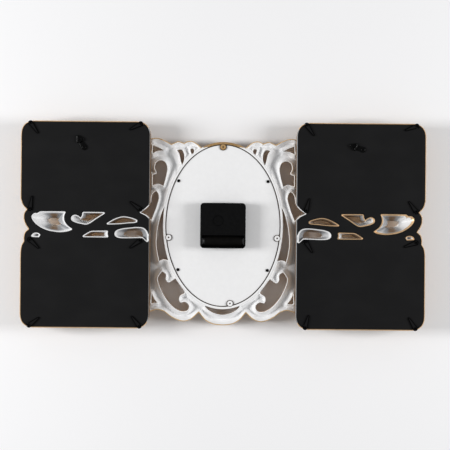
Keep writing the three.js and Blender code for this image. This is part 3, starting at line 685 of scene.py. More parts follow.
@dataclass
class CastSheet:
    """A cast sheet with an outline, openings, and rear and front surfaces of its own.

    Attributes:
        outer: its outline, in X and Z.
        holes: its openings, which may cross the outline and each other.
        grid: spacing of the points inside.
        rims: distances from every edge at which rows of points follow it.
        extra: more rows of points, where the surface has creases or steps.
        rim_share: points nearer to an edge than this share of their rim are left out.
        edge_share: share of the grid that stays free beside the last rim.
        row_share: share of the grid that stays free beside an extra row.
        least_area: triangles below half this area are left out.
        merging: points closer together than this become one.
    """

    outer: Array
    holes: Outlines
    grid: float = 1.4
    rims: Numbers = (0.25, 0.7, 1.3, 1.9)
    extra: Outlines = field(default_factory=list)
    rim_share: float = 0.97
    edge_share: float = 0.4
    row_share: float = 0.35
    least_area: float = 1e-7
    merging: float = 1e-4

    def covers(self, points: Array) -> Array:
        """Tells which points lie on the sheet.

        Args:
            points: places in X and Z.

        Returns:
            One yes or no a point.
        """
        on = inside(points, [self.outer])
        for hole in self.holes:
            low, high = hole.min(0), hole.max(0)
            near = on & (points >= low).all(1) & (points <= high).all(1)
            on[near] = ~inside(points[near], [hole])
        return on

    def inner_points(self) -> Array:
        """Lays out the points inside the sheet.

        Returns:
            Rows along the edges, the extra rows, then an even grid.
        """
        loops = [self.outer, *self.holes]
        kept = []
        for rim in self.rims:
            rows = [moved_outline(self.outer, -rim)]
            rows += [moved_outline(hole, rim) for hole in self.holes]
            row = np.vstack([row for row in rows if len(row)])
            row = row[self.covers(row)]
            kept.append(row[distance_to(row, loops) > rim * self.rim_share])
        for row in self.extra:
            row = row[self.covers(row)]
            kept.append(row[distance_to(row, loops) > self.rims[0]] if len(row) else row)
        low, high = self.outer.min(0), self.outer.max(0)
        rows = []
        for k, z in enumerate(np.arange(low[1], high[1], self.grid * math.sqrt(3) / 2)):
            x = np.arange(low[0] + k % 2 * self.grid / 2, high[0], self.grid)
            rows.append(np.stack([x, np.full(len(x), z)], 1))
        grid = np.vstack(rows)
        grid = grid[self.covers(grid)]
        grid = grid[distance_to(grid, loops) > self.rims[-1] + self.edge_share * self.grid]
        if self.extra:
            away = distance_to(grid, self.extra, False)
            grid = grid[away > self.row_share * self.grid]
        return np.vstack(kept + [grid])

    def triangles(self) -> tuple[Array, Array]:
        """Divides the flat sheet into triangles.

        Returns:
            The points, and the triangles, anticlockwise in X and Z.
        """
        loops = [self.outer, *self.holes]
        edges, start = [], 0
        for loop in loops:
            count = len(loop)
            edges += [(start + i, start + (i + 1) % count) for i in range(count)]
            start += count
        points = [Vector(point) for point in np.vstack([*loops, self.inner_points()])]
        made = delaunay_2d_cdt(points, edges, [], 0, self.merging, False)
        places = np.array([list(place) for place in made[0]])
        faces = np.array([face for face in made[2] if len(face) == 3])
        faces = faces[self.covers(places[faces].mean(1))]
        a, b, c = places[faces[:, 0]], places[faces[:, 1]], places[faces[:, 2]]
        area = (b[:, 0] - a[:, 0]) * (c[:, 1] - a[:, 1]) - (b[:, 1] - a[:, 1]) * (c[:, 0] - a[:, 0])
        faces[area < 0] = faces[area < 0][:, ::-1]
        faces = faces[np.abs(area) > self.least_area]
        used, new = np.unique(faces, return_inverse=True)
        return places[used], new.reshape(faces.shape)

    def build(self, name: str, rear: Callable[[Array], Array],
              front: Callable[[Array], Array], wall_rows: int = 2) -> Piece:
        """Closes the sheet between its rear and its front surface.

        Args:
            name: the piece's name.
            rear: gives the rear level of each point.
            front: gives the front level of each point.
            wall_rows: rows of faces in its walls.

        Returns:
            The piece, with the attribute "depth", 0 at the rear and 1 at the front.
        """
        flat, faces = self.triangles()
        count = len(flat)
        levels = [rear(flat), front(flat)]
        vertices = [np.stack([flat[:, 0], level, flat[:, 1]], 1) for level in levels]
        depth = [np.zeros(count), np.ones(count)]
        directed = np.vstack([faces[:, [0, 1]], faces[:, [1, 2]], faces[:, [2, 0]]])
        pairs = {(int(a), int(b)) for a, b in directed}
        border = [pair for pair in pairs if (pair[1], pair[0]) not in pairs]
        ring = sorted({point for pair in border for point in pair})
        rows = [{point: point for point in ring}]
        total = 2 * count
        for k in range(1, wall_rows):
            share = k / wall_rows
            places = vertices[0][ring] * (1 - share) + vertices[1][ring] * share
            vertices.append(places)
            depth.append(np.full(len(ring), share))
            rows.append({point: total + i for i, point in enumerate(ring)})
            total += len(ring)
        rows.append({point: count + point for point in ring})
        polygons = [list(face[::-1]) for face in faces] + [list(face + count) for face in faces]
        for upper, lower in zip(rows, rows[1:]):
            polygons += [(lower[a], upper[a], upper[b], lower[b]) for a, b in border]
        piece = new_piece(name, np.vstack(vertices), polygons)
        paint_points(piece, "depth", np.concatenate(depth))
        return smooth(piece, 42)

    def plate(self, name: str, rear: float, front: float, rounding: float,
              rounded: Outlines) -> Piece:
        """Closes the sheet as a flat plate.

        Args:
            name: the piece's name.
            rear: its rear level.
            front: its front level.
            rounding: radius of its rear edges.
            rounded: the edges that are rounded.

        Returns:
            The plate.
        """
        return self.build(
            name, lambda flat: rear - round_over(distance_to(flat, rounded), rounding),
            lambda flat: np.full(len(flat), front), 1)


def swept_oval(name: str, path: Array, profile: Array) -> Piece:
    """Ring that follows an oval path.

    Args:
        name: the piece's name.
        path: the oval, in X and Z, running anticlockwise.
        profile: closed section as distance outwards and level along Y.

    Returns:
        The ring.
    """
    along = np.roll(path, -1, axis=0) - np.roll(path, 1, axis=0)
    out = np.stack([along[:, 1], -along[:, 0]], 1) / np.linalg.norm(along, axis=1, keepdims=True)
    count, steps = len(path), len(profile)
    vertices = np.empty((count, steps, 3))
    vertices[:, :, 0] = path[:, None, 0] + out[:, None, 0] * profile[None, :, 0]
    vertices[:, :, 2] = path[:, None, 1] + out[:, None, 1] * profile[None, :, 0]
    vertices[:, :, 1] = profile[None, :, 1]
    faces = [(i * steps + j, i * steps + (j + 1) % steps, (i + 1) % count * steps + (j + 1) % steps,
              (i + 1) % count * steps + j) for i in range(count) for j in range(steps)]
    return smooth(face_out(new_piece(name, vertices.reshape(-1, 3), faces)), 40)


# Materials --------------------------------------------------------------------

class Value:
    """One output of a shader's nodes; Python's operators on it add Math nodes."""

    def __init__(self, shader: "Shader", socket: bpy.types.NodeSocket) -> None:
        """Keeps the shader that the socket belongs to."""
        self.shader = shader
        self.socket = socket

    def maths(self, operation: str, other: "Value | float", swap: bool = False) -> "Value":
        """Adds one Math node.

        Args:
            operation: what it does.
            other: the second operand.
            swap: whether the two operands change places.

        Returns:
            Its result.
        """
        operands = (other, self) if swap else (self, other)
        return self.shader.add("ShaderNodeMath", {"operation": operation},
                               dict(enumerate(operands)))

    def __add__(self, other: "Value | float") -> "Value":
        """Adds."""
        return self.maths("ADD", other)

    __radd__ = __add__

    def __sub__(self, other: "Value | float") -> "Value":
        """Subtracts."""
        return self.maths("SUBTRACT", other)

    def __rsub__(self, other: float) -> "Value":
        """Subtracts from a number."""
        return self.maths("SUBTRACT", other, swap=True)

    def __mul__(self, other: "Value | float") -> "Value":
        """Multiplies."""
        return self.maths("MULTIPLY", other)

    __rmul__ = __mul__

    def around(self, strength: float) -> "Value":
        """Turns a noise from 0 to 1 into one round 0, of a strength from lowest to highest."""
        return (self - 0.5) * strength

    def between(self, low: float, high: float) -> "Value":
        """Smooth step from 0 at low to 1 at high."""
        return self.shader.add("ShaderNodeMapRange", {"interpolation_type": "SMOOTHSTEP"},
                               {"Value": self, "From Min": low, "From Max": high})


Input = Value | float | Numbers


class Shader:
    """A material under construction, on a Principled surface."""

    def __init__(self, name: str) -> None:
        """Starts an empty node tree.

        Args:
            name: the material's name.
        """
        self.material = bpy.data.materials.new(name)
        self.material.use_nodes = True
        self.tree = self.material.node_tree
        self.tree.nodes.clear()
        self.out = self.tree.nodes.new("ShaderNodeOutputMaterial")

    def add(self, kind: str, settings: dict, inputs: dict, output: int | str = 0) -> Value:
        """Adds a node.

        Args:
            kind: its type.
            settings: its own settings.
            inputs: values or links of its sockets, by name or number.
            output: which output to give back.

        Returns:
            The chosen output.
        """
        node = self.tree.nodes.new(kind)
        for key, value in settings.items():
            setattr(node, key, value)
        for key, value in inputs.items():
            if isinstance(value, Value):
                self.tree.links.new(value.socket, node.inputs[key])
            else:
                node.inputs[key].default_value = value
        return Value(self, node.outputs[output])

    def place(self) -> Value:
        """Place on the piece, in metres in the CAD's frame."""
        return self.add("ShaderNodeTexCoord", {}, {}, "Object")

    def attribute(self, name: str) -> Value:
        """A number that the mesh carries at its points."""
        return self.add("ShaderNodeAttribute", {"attribute_name": name}, {}, "Fac")

    def noise(self, scale: float, detail: float = 3.0,
              stretch: Numbers = (1.0, 1.0, 1.0)) -> Value:
        """Adds soft noise.

        Args:
            scale: features a metre.
            detail: how many finer layers it has.
            stretch: factors along X, Y and Z.

        Returns:
            The noise, from 0 to 1.
        """
        vector = self.place()
        if set(stretch) != {1.0}:
            vector = self.add("ShaderNodeVectorMath", {"operation": "MULTIPLY"},
                              {0: vector, 1: stretch})
        return self.add("ShaderNodeTexNoise", {},
                        {"Vector": vector, "Scale": scale, "Detail": detail}, "Fac")

    def mix(self, factor: Value | float, first: Input, second: Input) -> Value:
        """Adds a blend of two colours.

        Args:
            factor: 0 for the first colour, 1 for the second.
            first: a colour or a value.
            second: a colour or a value.

        Returns:
            The blend.
        """
        first, second = (colour if isinstance(colour, Value) else (*colour[:3], 1)
                         for colour in (first, second))
        return self.add("ShaderNodeMix", {"data_type": "RGBA"}, {0: factor, 6: first, 7: second}, 2)

    def bump(self, height: Value, strength: float, distance: float) -> Value:
        """Bumps the surface by a height; the distance is in millimetres."""
        return self.add("ShaderNodeBump", {},
                        {"Height": height, "Strength": strength, "Distance": distance * MM})

    def end(self, shaded: Value) -> bpy.types.Material:
        """Links the surface's shader to the output, and gives the material."""
        self.tree.links.new(shaded.socket, self.out.inputs["Surface"])
        return self.material

    def surface(self, inputs: dict) -> bpy.types.Material:
        """Ends the material with a Principled surface.

        Args:
            inputs: values or links of its sockets, by name.

        Returns:
            The material.
        """
        if isinstance(inputs["Base Color"], tuple):
            inputs["Base Color"] = (*inputs["Base Color"], 1)
        return self.end(self.add("ShaderNodeBsdfPrincipled", {}, inputs))


@dataclass(frozen=True)
class CastPaint:
    """White casting with bronze paint sprayed over its front and outer edges, and painted grey and
    brown shade.

    The pairs of limits are where one colour starts to turn into the next and where it has.
    """

    name: str = "bronze_sprayed_casting"
    white: Numbers = (0.88, 0.88, 0.885)
    # Grey of the painted shade in channels, creases and piercing walls
    dusted: Numbers = (0.30, 0.31, 0.325)
    bronze: Numbers = (0.46, 0.27, 0.11)
    gold: Numbers = (0.72, 0.49, 0.23)
    apricot: Numbers = (0.88, 0.60, 0.35)
    umber: Numbers = (0.055, 0.028, 0.013)
    # Brown of the painted shade deep in the piercings, warm as with bounce light from the bronze
    earth: Numbers = (0.19, 0.12, 0.07)
    sprayed: Pair = (0.42, 0.62)
    to_bronze: Pair = (0.05, 0.45)
    to_gold: Pair = (0.55, 1.0)
    to_apricot: Pair = (1.2, 1.7)
    mottling: Pair = (0.35, 0.75)
    mottled_share: float = 0.25
    rough: float = 0.42
    paint_sheen: float = 0.06
    paint_metal: float = 0.5
    grain: float = 0.10
    grain_depth: float = 0.2

    def make(self) -> bpy.types.Material:
        """Builds the material.

        Returns:
            The material; it reads the attributes "spray", "crest" and one of painted shade.
        """
        s = Shader(self.name)
        paint = (s.attribute("spray") + s.noise(260, 4).around(0.35)).between(*self.sprayed)
        rub = s.attribute("crest") + s.noise(420, 5).around(0.5)
        antique = s.mix(rub.between(*self.to_bronze), self.umber, self.bronze)
        antique = s.mix(rub.between(*self.to_gold), antique, self.gold)
        antique = s.mix(rub.between(*self.to_apricot), antique, self.apricot)
        mottled = s.noise(90, 3).between(*self.mottling) * self.mottled_share
        hollow = s.attribute("hollow")
        # Painted shade: the white turns grey and then brown as the shade attribute rises
        raw = s.mix(hollow.between(0.0, 1.0), self.white, self.dusted)
        raw = s.mix(hollow.between(1.0, 2.0), raw, self.earth)
        return s.surface({
            "Base Color": s.mix(paint, raw, s.mix(mottled, antique, self.umber)),
            "Roughness": self.rough - paint * self.paint_sheen + s.noise(700, 2).around(0.15),
            "Metallic": paint * self.paint_metal,
            "Normal": s.bump(s.noise(1500, 2), self.grain, self.grain_depth),
        })


@dataclass(frozen=True)
class BoardBlack:
    """Black faced hardboard: matte, hardly streaked, with a little dust."""

    name: str = "black_faced_hardboard"
    dark: Numbers = (0.0072, 0.0072, 0.0076)
    light: Numbers = (0.0094, 0.0094, 0.0098)
    dust: Numbers = (0.06, 0.06, 0.06)
    clouds: Pair = (0.3, 0.8)
    specks: Pair = (0.68, 0.78)
    dust_share: float = 0.12
    rough: float = 0.55
    rough_spread: float = 0.08
    shine: float = 0.1
    grain: float = 0.06
    grain_depth: float = 0.15

    def make(self) -> bpy.types.Material:
        """Builds the material.

        Returns:
            The material.
        """
        s = Shader(self.name)
        cloud = s.noise(24, 4, (1.0, 1.0, 1.6))
        specks = s.noise(2600, 2).between(*self.specks) * self.dust_share
        base = s.mix(cloud.between(*self.clouds), self.dark, self.light)
        return s.surface({
            "Base Color": s.mix(specks, base, self.dust),
            "Roughness": self.rough + cloud * self.rough_spread,
            "Specular IOR Level": self.shine,
            "Normal": s.bump(s.noise(900, 4), self.grain, self.grain_depth),
        })


@dataclass(frozen=True)
class ClipBlack:
    """Black lacquered clip: its edge painted near black as the shadow line round it."""

    name: str = "black_lacquered_clip"
    # Near black of the painted shadow line round the clip's edge
    edge: Numbers = (0.0007, 0.0007, 0.0008)
    face: Numbers = (0.0105, 0.0105, 0.011)
    limits: Pair = (0.5, 0.95)
    rough: float = 0.7
    face_sheen: float = 0.1
    shine: float = 0.025
    grain: float = 0.08
    grain_depth: float = 0.15

    def make(self) -> bpy.types.Material:
        """Builds the material.

        Returns:
            The material; it reads the attribute "face".
        """
        s = Shader(self.name)
        face = (s.attribute("face") + s.noise(900, 3).around(0.2)).between(*self.limits)
        return s.surface({
            "Base Color": s.mix(face, self.edge, self.face),
            "Roughness": self.rough - face * self.face_sheen + s.noise(600, 2).around(0.1),
            "Specular IOR Level": self.shine,
            "Normal": s.bump(s.noise(1400, 3), self.grain, self.grain_depth),
        })


@dataclass(frozen=True)
class Plain:
    """A finish with fine mottling, a light grain and an even sheen."""

    name: str
    colour: Numbers
    second: Numbers
    rough: float = 0.4
    metal: float = 0.0
    grain: float = 900.0
    bump: float = 0.08
    spread: float = 0.12
    shine: float = 0.5
    clouds: Pair = (0.3, 0.75)
    cloud_scale: float = 0.18
    rough_scale: float = 0.5
    grain_depth: float = 0.15

    def make(self) -> bpy.types.Material:
        """Builds the material.

        Returns:
            The material.
        """
        s = Shader(self.name)
        cloud = s.noise(self.grain * self.cloud_scale, 4).between(*self.clouds)
        patchy = s.noise(self.grain * self.rough_scale, 3) * self.spread
        return s.surface({
            "Base Color": s.mix(cloud, self.colour, self.second),
            "Roughness": (self.rough - self.spread / 2) + patchy,
            "Metallic": self.metal,
            "Specular IOR Level": self.shine,
            "Normal": s.bump(s.noise(self.grain, 3), self.bump, self.grain_depth),
        })


@dataclass(frozen=True)
class ClearGlass:
    """Clear glass, seen through in a thin pane."""

    name: str = "clear_pane_glass"
    colour: Numbers = (0.95, 0.98, 0.98)
    rough: float = 0.02
    ior: float = 1.45
    alpha: float = 0.1

    def make(self) -> bpy.types.Material:
        """Builds the material."""
        return Shader(self.name).surface({"Base Color": self.colour, "Roughness": self.rough,
                                          "IOR": self.ior, "Alpha": self.alpha})


class Finishes:
    """Every material, made once."""

    def __init__(self) -> None:
        """Builds the materials."""
        self.casting = CastPaint().make()
        self.board = BoardBlack().make()
        self.clip = ClipBlack().make()
        self.steel_black = Plain("black_lacquered_steel", (0.0007, 0.0007, 0.0008),
                                 (0.002, 0.002, 0.0022), rough=0.22, grain=1400, shine=0.13).make()
        self.plate = Plain("white_moulded_plate", (0.84, 0.84, 0.845), (0.86, 0.86, 0.865),
                           rough=0.42, grain=1200, bump=0.04, shine=0.4).make()
        self.case = Plain("glossy_black_case", (0.0019, 0.0019, 0.0021), (0.0036, 0.0036, 0.0038),
                          rough=0.16, grain=2200, bump=0.04, spread=0.1, shine=0.14).make()
        self.sleeve = Plain("dark_cell_sleeve", (0.0018, 0.0017, 0.0016), (0.004, 0.0034, 0.003),
                            rough=0.5, grain=1500, bump=0.04, spread=0.1, shine=0.06).make()
        self.cell_steel = Plain("plated_cell_end", (0.10, 0.10, 0.105), (0.16, 0.16, 0.165),
                                rough=0.34, metal=1.0, grain=2000, bump=0.05).make()
        self.brass = Plain("turned_brass", (0.62, 0.42, 0.15), (0.78, 0.57, 0.25), rough=0.28,
                           metal=1.0, grain=2400).make()
        self.dial = Plain("printed_dial_card", (0.77, 0.71, 0.58), (0.84, 0.79, 0.67), rough=0.6,
                          grain=500, bump=0.06).make()
        self.ink = Plain("dial_ink", (0.006, 0.005, 0.004), (0.012, 0.009, 0.007), rough=0.5,
                         grain=1500, bump=0.05, shine=0.2).make()
        self.card = Plain("tinted_insert_card", (0.60, 0.53, 0.44), (0.66, 0.6, 0.51), rough=0.75,
                          grain=700, bump=0.12).make()
        self.plastic = Plain("natural_gear_plastic", (0.78, 0.75, 0.68), (0.84, 0.81, 0.75),
                             rough=0.45).make()
        self.rubber = Plain("washer_rubber", (0.012, 0.012, 0.012), (0.02, 0.02, 0.02), rough=0.85,
                            bump=0.2).make()
        self.circuit = Plain("circuit_green", (0.01, 0.09, 0.04), (0.02, 0.13, 0.06)).make()
        self.glass = ClearGlass().make()


def dress(piece: Piece, material: bpy.types.Material, body: str = "frame",
          nodes: Iterable[str] = ()) -> Piece:
    """Gives a finished piece what it needs.

    Args:
        piece: the object.
        material: its finish.
        body: the body that it rides on.
        nodes: the CAD nodes that it replaces.

    Returns:
        The same object.
    """
    if not piece.data.materials:
        piece.data.materials.append(material)
    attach(piece, body)
    if nodes:
        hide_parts(*nodes)
    log.info("%s rides on %s, %d vertices", piece.name, body, len(piece.data.vertices))
    return piece


def paint_points(piece: Piece, name: str, values: Array) -> None:
    """Stores one number a point on a piece's mesh."""
    layer = piece.data.attributes.new(name, "FLOAT", "POINT")
    layer.data.foreach_set("value", values.astype(np.float32))


def points_of(piece: Piece) -> Array:
    """Reads a piece's vertices.

    Args:
        piece: the object.

    Returns:
        Their places in millimetres.
    """
    flat = np.empty(len(piece.data.vertices) * 3, np.float32)
    piece.data.vertices.foreach_get("co", flat)
    return flat.reshape(-1, 3).astype(float) / MM


def numbers_of(piece: Piece, name: str) -> Array:
    """Reads one stored number a point of a piece's mesh.

    Args:
        piece: the object.
        name: the attribute's name.

    Returns:
        The numbers.
    """
    values = np.empty(len(piece.data.vertices), np.float32)
    piece.data.attributes[name].data.foreach_get("value", values)
    return values


def round_over(distance: Array, radius: float) -> Array:
    """How far a quarter round of a radius has dropped at each distance from its edge."""
    t = np.clip(distance / radius, 0, 1)
    return radius * (1 - np.sqrt(np.maximum(0, 1 - (1 - t) ** 2)))


def ease(t: Array) -> Array:
    """Smooth step of a share from 0 to 1."""
    t = np.clip(t, 0, 1)
    return t * t * (3 - 2 * t)


# Sub-assemblies ---------------------------------------------------------------

# Limits of the attribute "depth" on the front and the rear face, the marks for full spray and for a
# line of painted shadow, and how far along Y the normal of a flat face points
FRONT_FACE = 0.999
REAR_FACE = 0.02
SPRAYED = 1.2
GAP_SHADOW = -0.6
FLAT = 0.99


@dataclass
class OvalSizes:
    """Sizes of the oval clock opening and of what sits in it."""

    half_width: float = 71.0
    half_height: float = 100.4
    gap: float = 0.3
    land: float = 3.4
    shoulder: float = 6.3
    lens_lip: float = 3.0
    plate_rear: float = -17.2
    plate_front: float = -19.4
    shoulder_level: float = -20.4
    lens_seat: float = -33.1
    boss_radius: float = 3.6
    boss_inset: float = 2.6
    pilot_radius: float = 0.95
    sprayed_z: float = 90.0
    boss_turns: Numbers = (89.5, -9.0, 189.0, -98.0)
    screw_x: float = 55.6
    screw_z: float = 55.3
    fine_step: float = 0.2
    notch_points: int = 24

    def ring(self) -> Pair:
        """Outer half sizes of the wall round the opening."""
        grow = self.gap + self.land
        return self.half_width + grow, self.half_height + grow

    def bosses(self) -> list[Pair]:
        """Places of the four half-round bosses."""
        return [((self.half_width - self.boss_inset) * math.cos(math.radians(turn)),
                 (self.half_height - self.boss_inset) * math.sin(math.radians(turn)))
                for turn in self.boss_turns]

    def screws(self) -> dict[str, Pair]:
        """Places of the four small screws, by name."""
        return {f"{column}_{row}": (x, z)
                for column, x in (("right", self.screw_x), ("left", -self.screw_x))
                for row, z in (("upper", self.screw_z), ("lower", -self.screw_z))}

    def notched(self, step: float) -> Array:
        """Outline of the plate, with a notch round each boss.

        Args:
            step: spacing of the result.

        Returns:
            The outline, anticlockwise.
        """
        rough = oval(self.half_width, self.half_height, self.fine_step)
        radius = self.boss_radius + self.gap
        bosses = np.array(self.bosses())
        out: Outlines = []
        owner = np.full(len(rough), -1)
        for k, boss in enumerate(bosses):
            owner[np.linalg.norm(rough - boss, axis=1) < radius] = k
        start = int(np.argmax(owner == -1))
        order = [(start + i) % len(rough) for i in range(len(rough))]
        i = 0
        while i < len(order):
            k = owner[order[i]]
            if k < 0:
                out.append(rough[order[i]])
                i += 1
                continue
            first = i
            while i < len(order) and owner[order[i]] == k:
                i += 1
            a, b = rough[order[first - 1]] - bosses[k], rough[order[i % len(order)]] - bosses[k]
            low, high = math.atan2(a[1], a[0]), math.atan2(b[1], b[0])
            while high > low:
                high -= FULL_TURN
            for turn in np.linspace(low, high, self.notch_points)[1:-1]:
                out.append(bosses[k] + radius * np.array([math.cos(turn), math.sin(turn)]))
        return spaced(np.array(out), step, True)


@dataclass
class ScrollCentre:
    """The pierced scroll centre and the raised ring round the clock's opening."""

    finishes: Finishes
    sizes: OvalSizes = field(default_factory=OvalSizes)
    half_width: float = 90.4
    half_height: float = 124.0
    rear: float = -16.0
    front: float = -32.0
    channel: float = 9.0
    channel_reach: float = 7.0
    rim: float = 1.25
    rim_round: float = 0.5
    bowl_shares: Pair = (0.55, 0.45)
    crease_width: float = 0.75
    crease_rise: float = 0.35
    crease_depth: float = 2.6
    front_round: float = 1.7
    front_drop: float = 1.0
    front_groove: tuple[float, float, float] = (1.5, 2.7, 0.6)
    front_dome: tuple[float, float, float] = (1.9, 2.9, 6.5)
    front_crease: Pair = (2.4, 0.9)
    ring_bite: float = 0.6
    spray_width: float = 1.5
    spray_level: float = 0.95
    gold_depth: float = 4.5
    # Reach of the painted shade beside the wings, and where it fades out towards the ends
    dust_reach: float = 8.0
    dust_half_height: float = 88.0
    dust_fade: float = 20.0
    seam_level: float = -21.0
    sprayed_top: float = 96.5
    slit: float = 0.51
    step: float = 1.2
    crease_step: float = 0.7
    ring_step: float = 1.6
    grid: float = 1.35

    def scaled(self, shares: list[list[float]], side: int = 1) -> list[list[float]]:
        """Points in millimetres from shares of the half sizes."""
        return [[side * p[0] * self.half_width, p[1] * self.half_height, *p[2:]] for p in shares]

    def outline(self) -> Array:
        """Outer edge of the scroll centre.

        Returns:
            The outline.
        """
        right = self.scaled(TOP_EDGE + BOTTOM_EDGE)
        left = [[-p[0], *p[1:]] for p in right[:-1]][::-1]
        return outline_through(right + left, self.step)

    def free_edges(self, outer: Array) -> Outlines:
        """Divides the outer edge where the wings join it.

        Args:
            outer: the outer edge.

        Returns:
            Its two open runs.
        """
        free = outer[np.abs(outer[:, 0]) < self.half_width - 0.01]
        start = int(np.argmax(np.linalg.norm(free - np.roll(free, 1, axis=0), axis=1)))
        free = np.roll(free, -start, axis=0)
        gap = int(np.argmax(np.linalg.norm(np.diff(free, axis=0), axis=1))) + 1
        return [free[:gap], free[gap:]]

    def piercings(self) -> Outlines:
        """Every opening of the scrollwork."""
        shapes = [outline_through(self.scaled(shape, side), self.step)
                  for shape in PIERCINGS.values() for side in (1, -1)]
        return shapes + [outline_through(self.scaled(FOOT_CRESCENT), self.step)]

    def creases(self) -> Outlines:
        """Creases between the upper scrolls and the oval."""
        return [spaced(run_of(np.array(self.scaled(CREASE, side)), False), self.crease_step, False)
                for side in (1, -1)]

    def build(self) -> None:
        """Makes the scrollwork, the oval wall with its bezel, and the bosses."""
        sizes = self.sizes
        self._scrollwork(self.outline(), self.piercings(), oval(*sizes.ring(), self.step))
        self._bezel(oval(sizes.half_width + sizes.gap, sizes.half_height + sizes.gap, self.step))
        self._bosses()

    def _scrollwork(self, outer: Array, holes: Outlines, ring: Array) -> None:
        """Makes the two pierced sides outside the oval's wall, as one casting.

        Args:
            outer: the outer edge.
            holes: the piercings.
            ring: outline of the oval's wall.
        """
        creases = self.creases()
        edges = self.free_edges(outer)
        bite = moved_outline(ring, -self.ring_bite)
        sheet = CastSheet(outer, [*holes, bite], self.grid, extra=creases)

        def rim_distance(flat: Array) -> Array:
            """Distance from each point to the nearest edge."""
            rims = np.minimum(distance_to(flat, edges, False), distance_to(flat, holes))
            return np.minimum(rims, distance_to(flat, [ring]))

        def rear(flat: Array) -> Array:
            """Rear level: rounded rims, with channels between them.

            Args:
                flat: places in X and Z.

            Returns:
                The level at each place.
            """
            d = rim_distance(flat)
            t = np.clip((d - self.rim) / self.channel_reach, 0, 1)
            full, soft = self.bowl_shares
            bowl = np.sqrt(np.maximum(0, 1 - (1 - t) ** 2)) * full + ease(t * 1.15) * soft
            crease = ridge(distance_to(flat, creases, False), 0, self.crease_width)
            level = self.rear - round_over(d, self.rim_round)
            level -= self.channel * bowl * (1 - self.crease_rise * crease)
            level -= self.crease_depth * crease * ease((d - 1) / 1.5)
            return np.where(inside(flat, [ring]), self.rear, level)

        def front(flat: Array) -> Array:
            """Front level: domed scrolls with a groove along every edge.

            Args:
                flat: places in X and Z.

            Returns:
                The level at each place.
            """
            d = rim_distance(flat)
            deep, at, width = self.front_groove
            high, begin, reach = self.front_dome
            crease, crease_width = self.front_crease
            dome = high * (1 - np.sqrt(np.clip((d - begin) / reach, 0, 1))) * (d > begin)
            level = self.front + np.maximum(round_over(d, self.front_round) + self.front_drop, dome)
            level += deep * ridge(d, at, width)
            return level + crease * ridge(distance_to(flat, creases, False), 0, crease_width)

        piece = sheet.build("centre_scrollwork", rear, front, 4)
        self._paint(piece, edges)
        dress(piece, self.finishes.casting, "frame", ["centre_scroll_moulding"])

    def _paint(self, piece: Piece, edges: Outlines) -> None:
        """Stores where the bronze spray reached, where the paint is rubbed and where shade is
        painted.

        Args:
            piece: the scrollwork.
            edges: its outer edges, which the spray reached.
        """
        places, depth = points_of(piece), numbers_of(piece, "depth")
        flat = places[:, [0, 2]]
        outside = ridge(distance_to(flat, edges, False), 0, self.spray_width) * self.spray_level
        wall = np.where(depth > FRONT_FACE, SPRAYED, ease((depth - 0.06) / 0.3))
        paint_points(piece, "spray", np.maximum(outside, wall))
        crest = np.clip((self.front + self.gold_depth - places[:, 1]) / self.gold_depth, 0, 1)
        rear = np.where(depth > REAR_FACE, 0.3, 1.3)
        paint_points(piece, "crest", np.where(depth > FRONT_FACE, crest, rear))
        # Painted shade: greyer in deeper channels, most beside the wings whose walls shade them,
        # and along the creases
        deep = np.clip((self.rear - places[:, 1]) / self.channel, 0, 1)
        beside = ridge(self.half_width - np.abs(places[:, 0]), 0, self.dust_reach)
        beside *= ease((self.dust_half_height - np.abs(places[:, 2])) / self.dust_fade)
        creased = ridge(distance_to(flat, self.creases(), False), 0, 2.2)
        paint_points(piece, "hollow", np.clip(deep * (0.14 + 0.6 * beside) + 0.4 * creased, 0, 1))

    def _bezel(self, bore: Array) -> None:
        """Makes the oval wall, its shoulder and its raised ring.

        Args:
            bore: outline of the wall's inside.
        """
        s = self.sizes
        rear, land = self.rear, s.land
        lens = -s.shoulder
        sight = lens - s.lens_lip
        # Points of the raised ring: how far inwards from the wall's outer face, and the level
        moulding = [
            (0.0, -30.5), (0.1, -32.6), (0.6, -34.2), (1.5, -35.2), (2.3, -35.45), (2.7, -35.1),
            (3.2, -35.0), (3.7, -35.4), (4.6, -36.35), (5.8, -36.85), (7.0, -36.85), (8.2, -36.4),
            (8.8, -35.6), (9.3, -35.4), (10.2, -35.3), (11.4, -34.5),
        ]
        profile = np.array([
            (0.55, rear), (land - 0.5, rear), (land - 0.1, rear - 0.2), (land, rear - 0.6),
            *[(land - inwards, level) for inwards, level in moulding],
            (sight - 0.1, -33.9), (sight, -33.5), (sight, s.lens_seat), (lens, s.lens_seat),
            (lens, s.shoulder_level), (0.0, s.shoulder_level), (0.0, rear - 1.2),
            (0.12, rear - 0.45), (0.47, rear - 0.06),
        ])
        ring = swept_oval("oval_bezel_ring", oval(*bore.max(0), self.ring_step), profile)
        places = points_of(ring)
        behind = places[:, 1] > self.seam_level
        top = ease((places[:, 2] - self.sprayed_top) / 2.0)
        # The bore's wall and chamfer are painted dark umber as the shadow in the gap round the
        # plate
        radial = np.hypot(places[:, 0] / bore[:, 0].max(), places[:, 2] / bore[:, 1].max())
        slit = (radial < 1) | (distance_to(places[:, [0, 2]], [bore]) < self.slit)
        gap = slit & (places[:, 1] > s.lens_seat - 0.05)
        spray = np.maximum(ease((rear - places[:, 1]) / 6.0), np.where(behind, top * SPRAYED, 0))
        paint_points(ring, "spray", np.where(gap, SPRAYED, spray))
        crest = np.clip((-33.8 - places[:, 1]) / 2.6, 0, 1) * 0.9 + 0.05
        paint_points(ring, "crest", np.where(gap, GAP_SHADOW, np.where(behind, 0.7, crest)))
        dress(ring, self.finishes.casting)

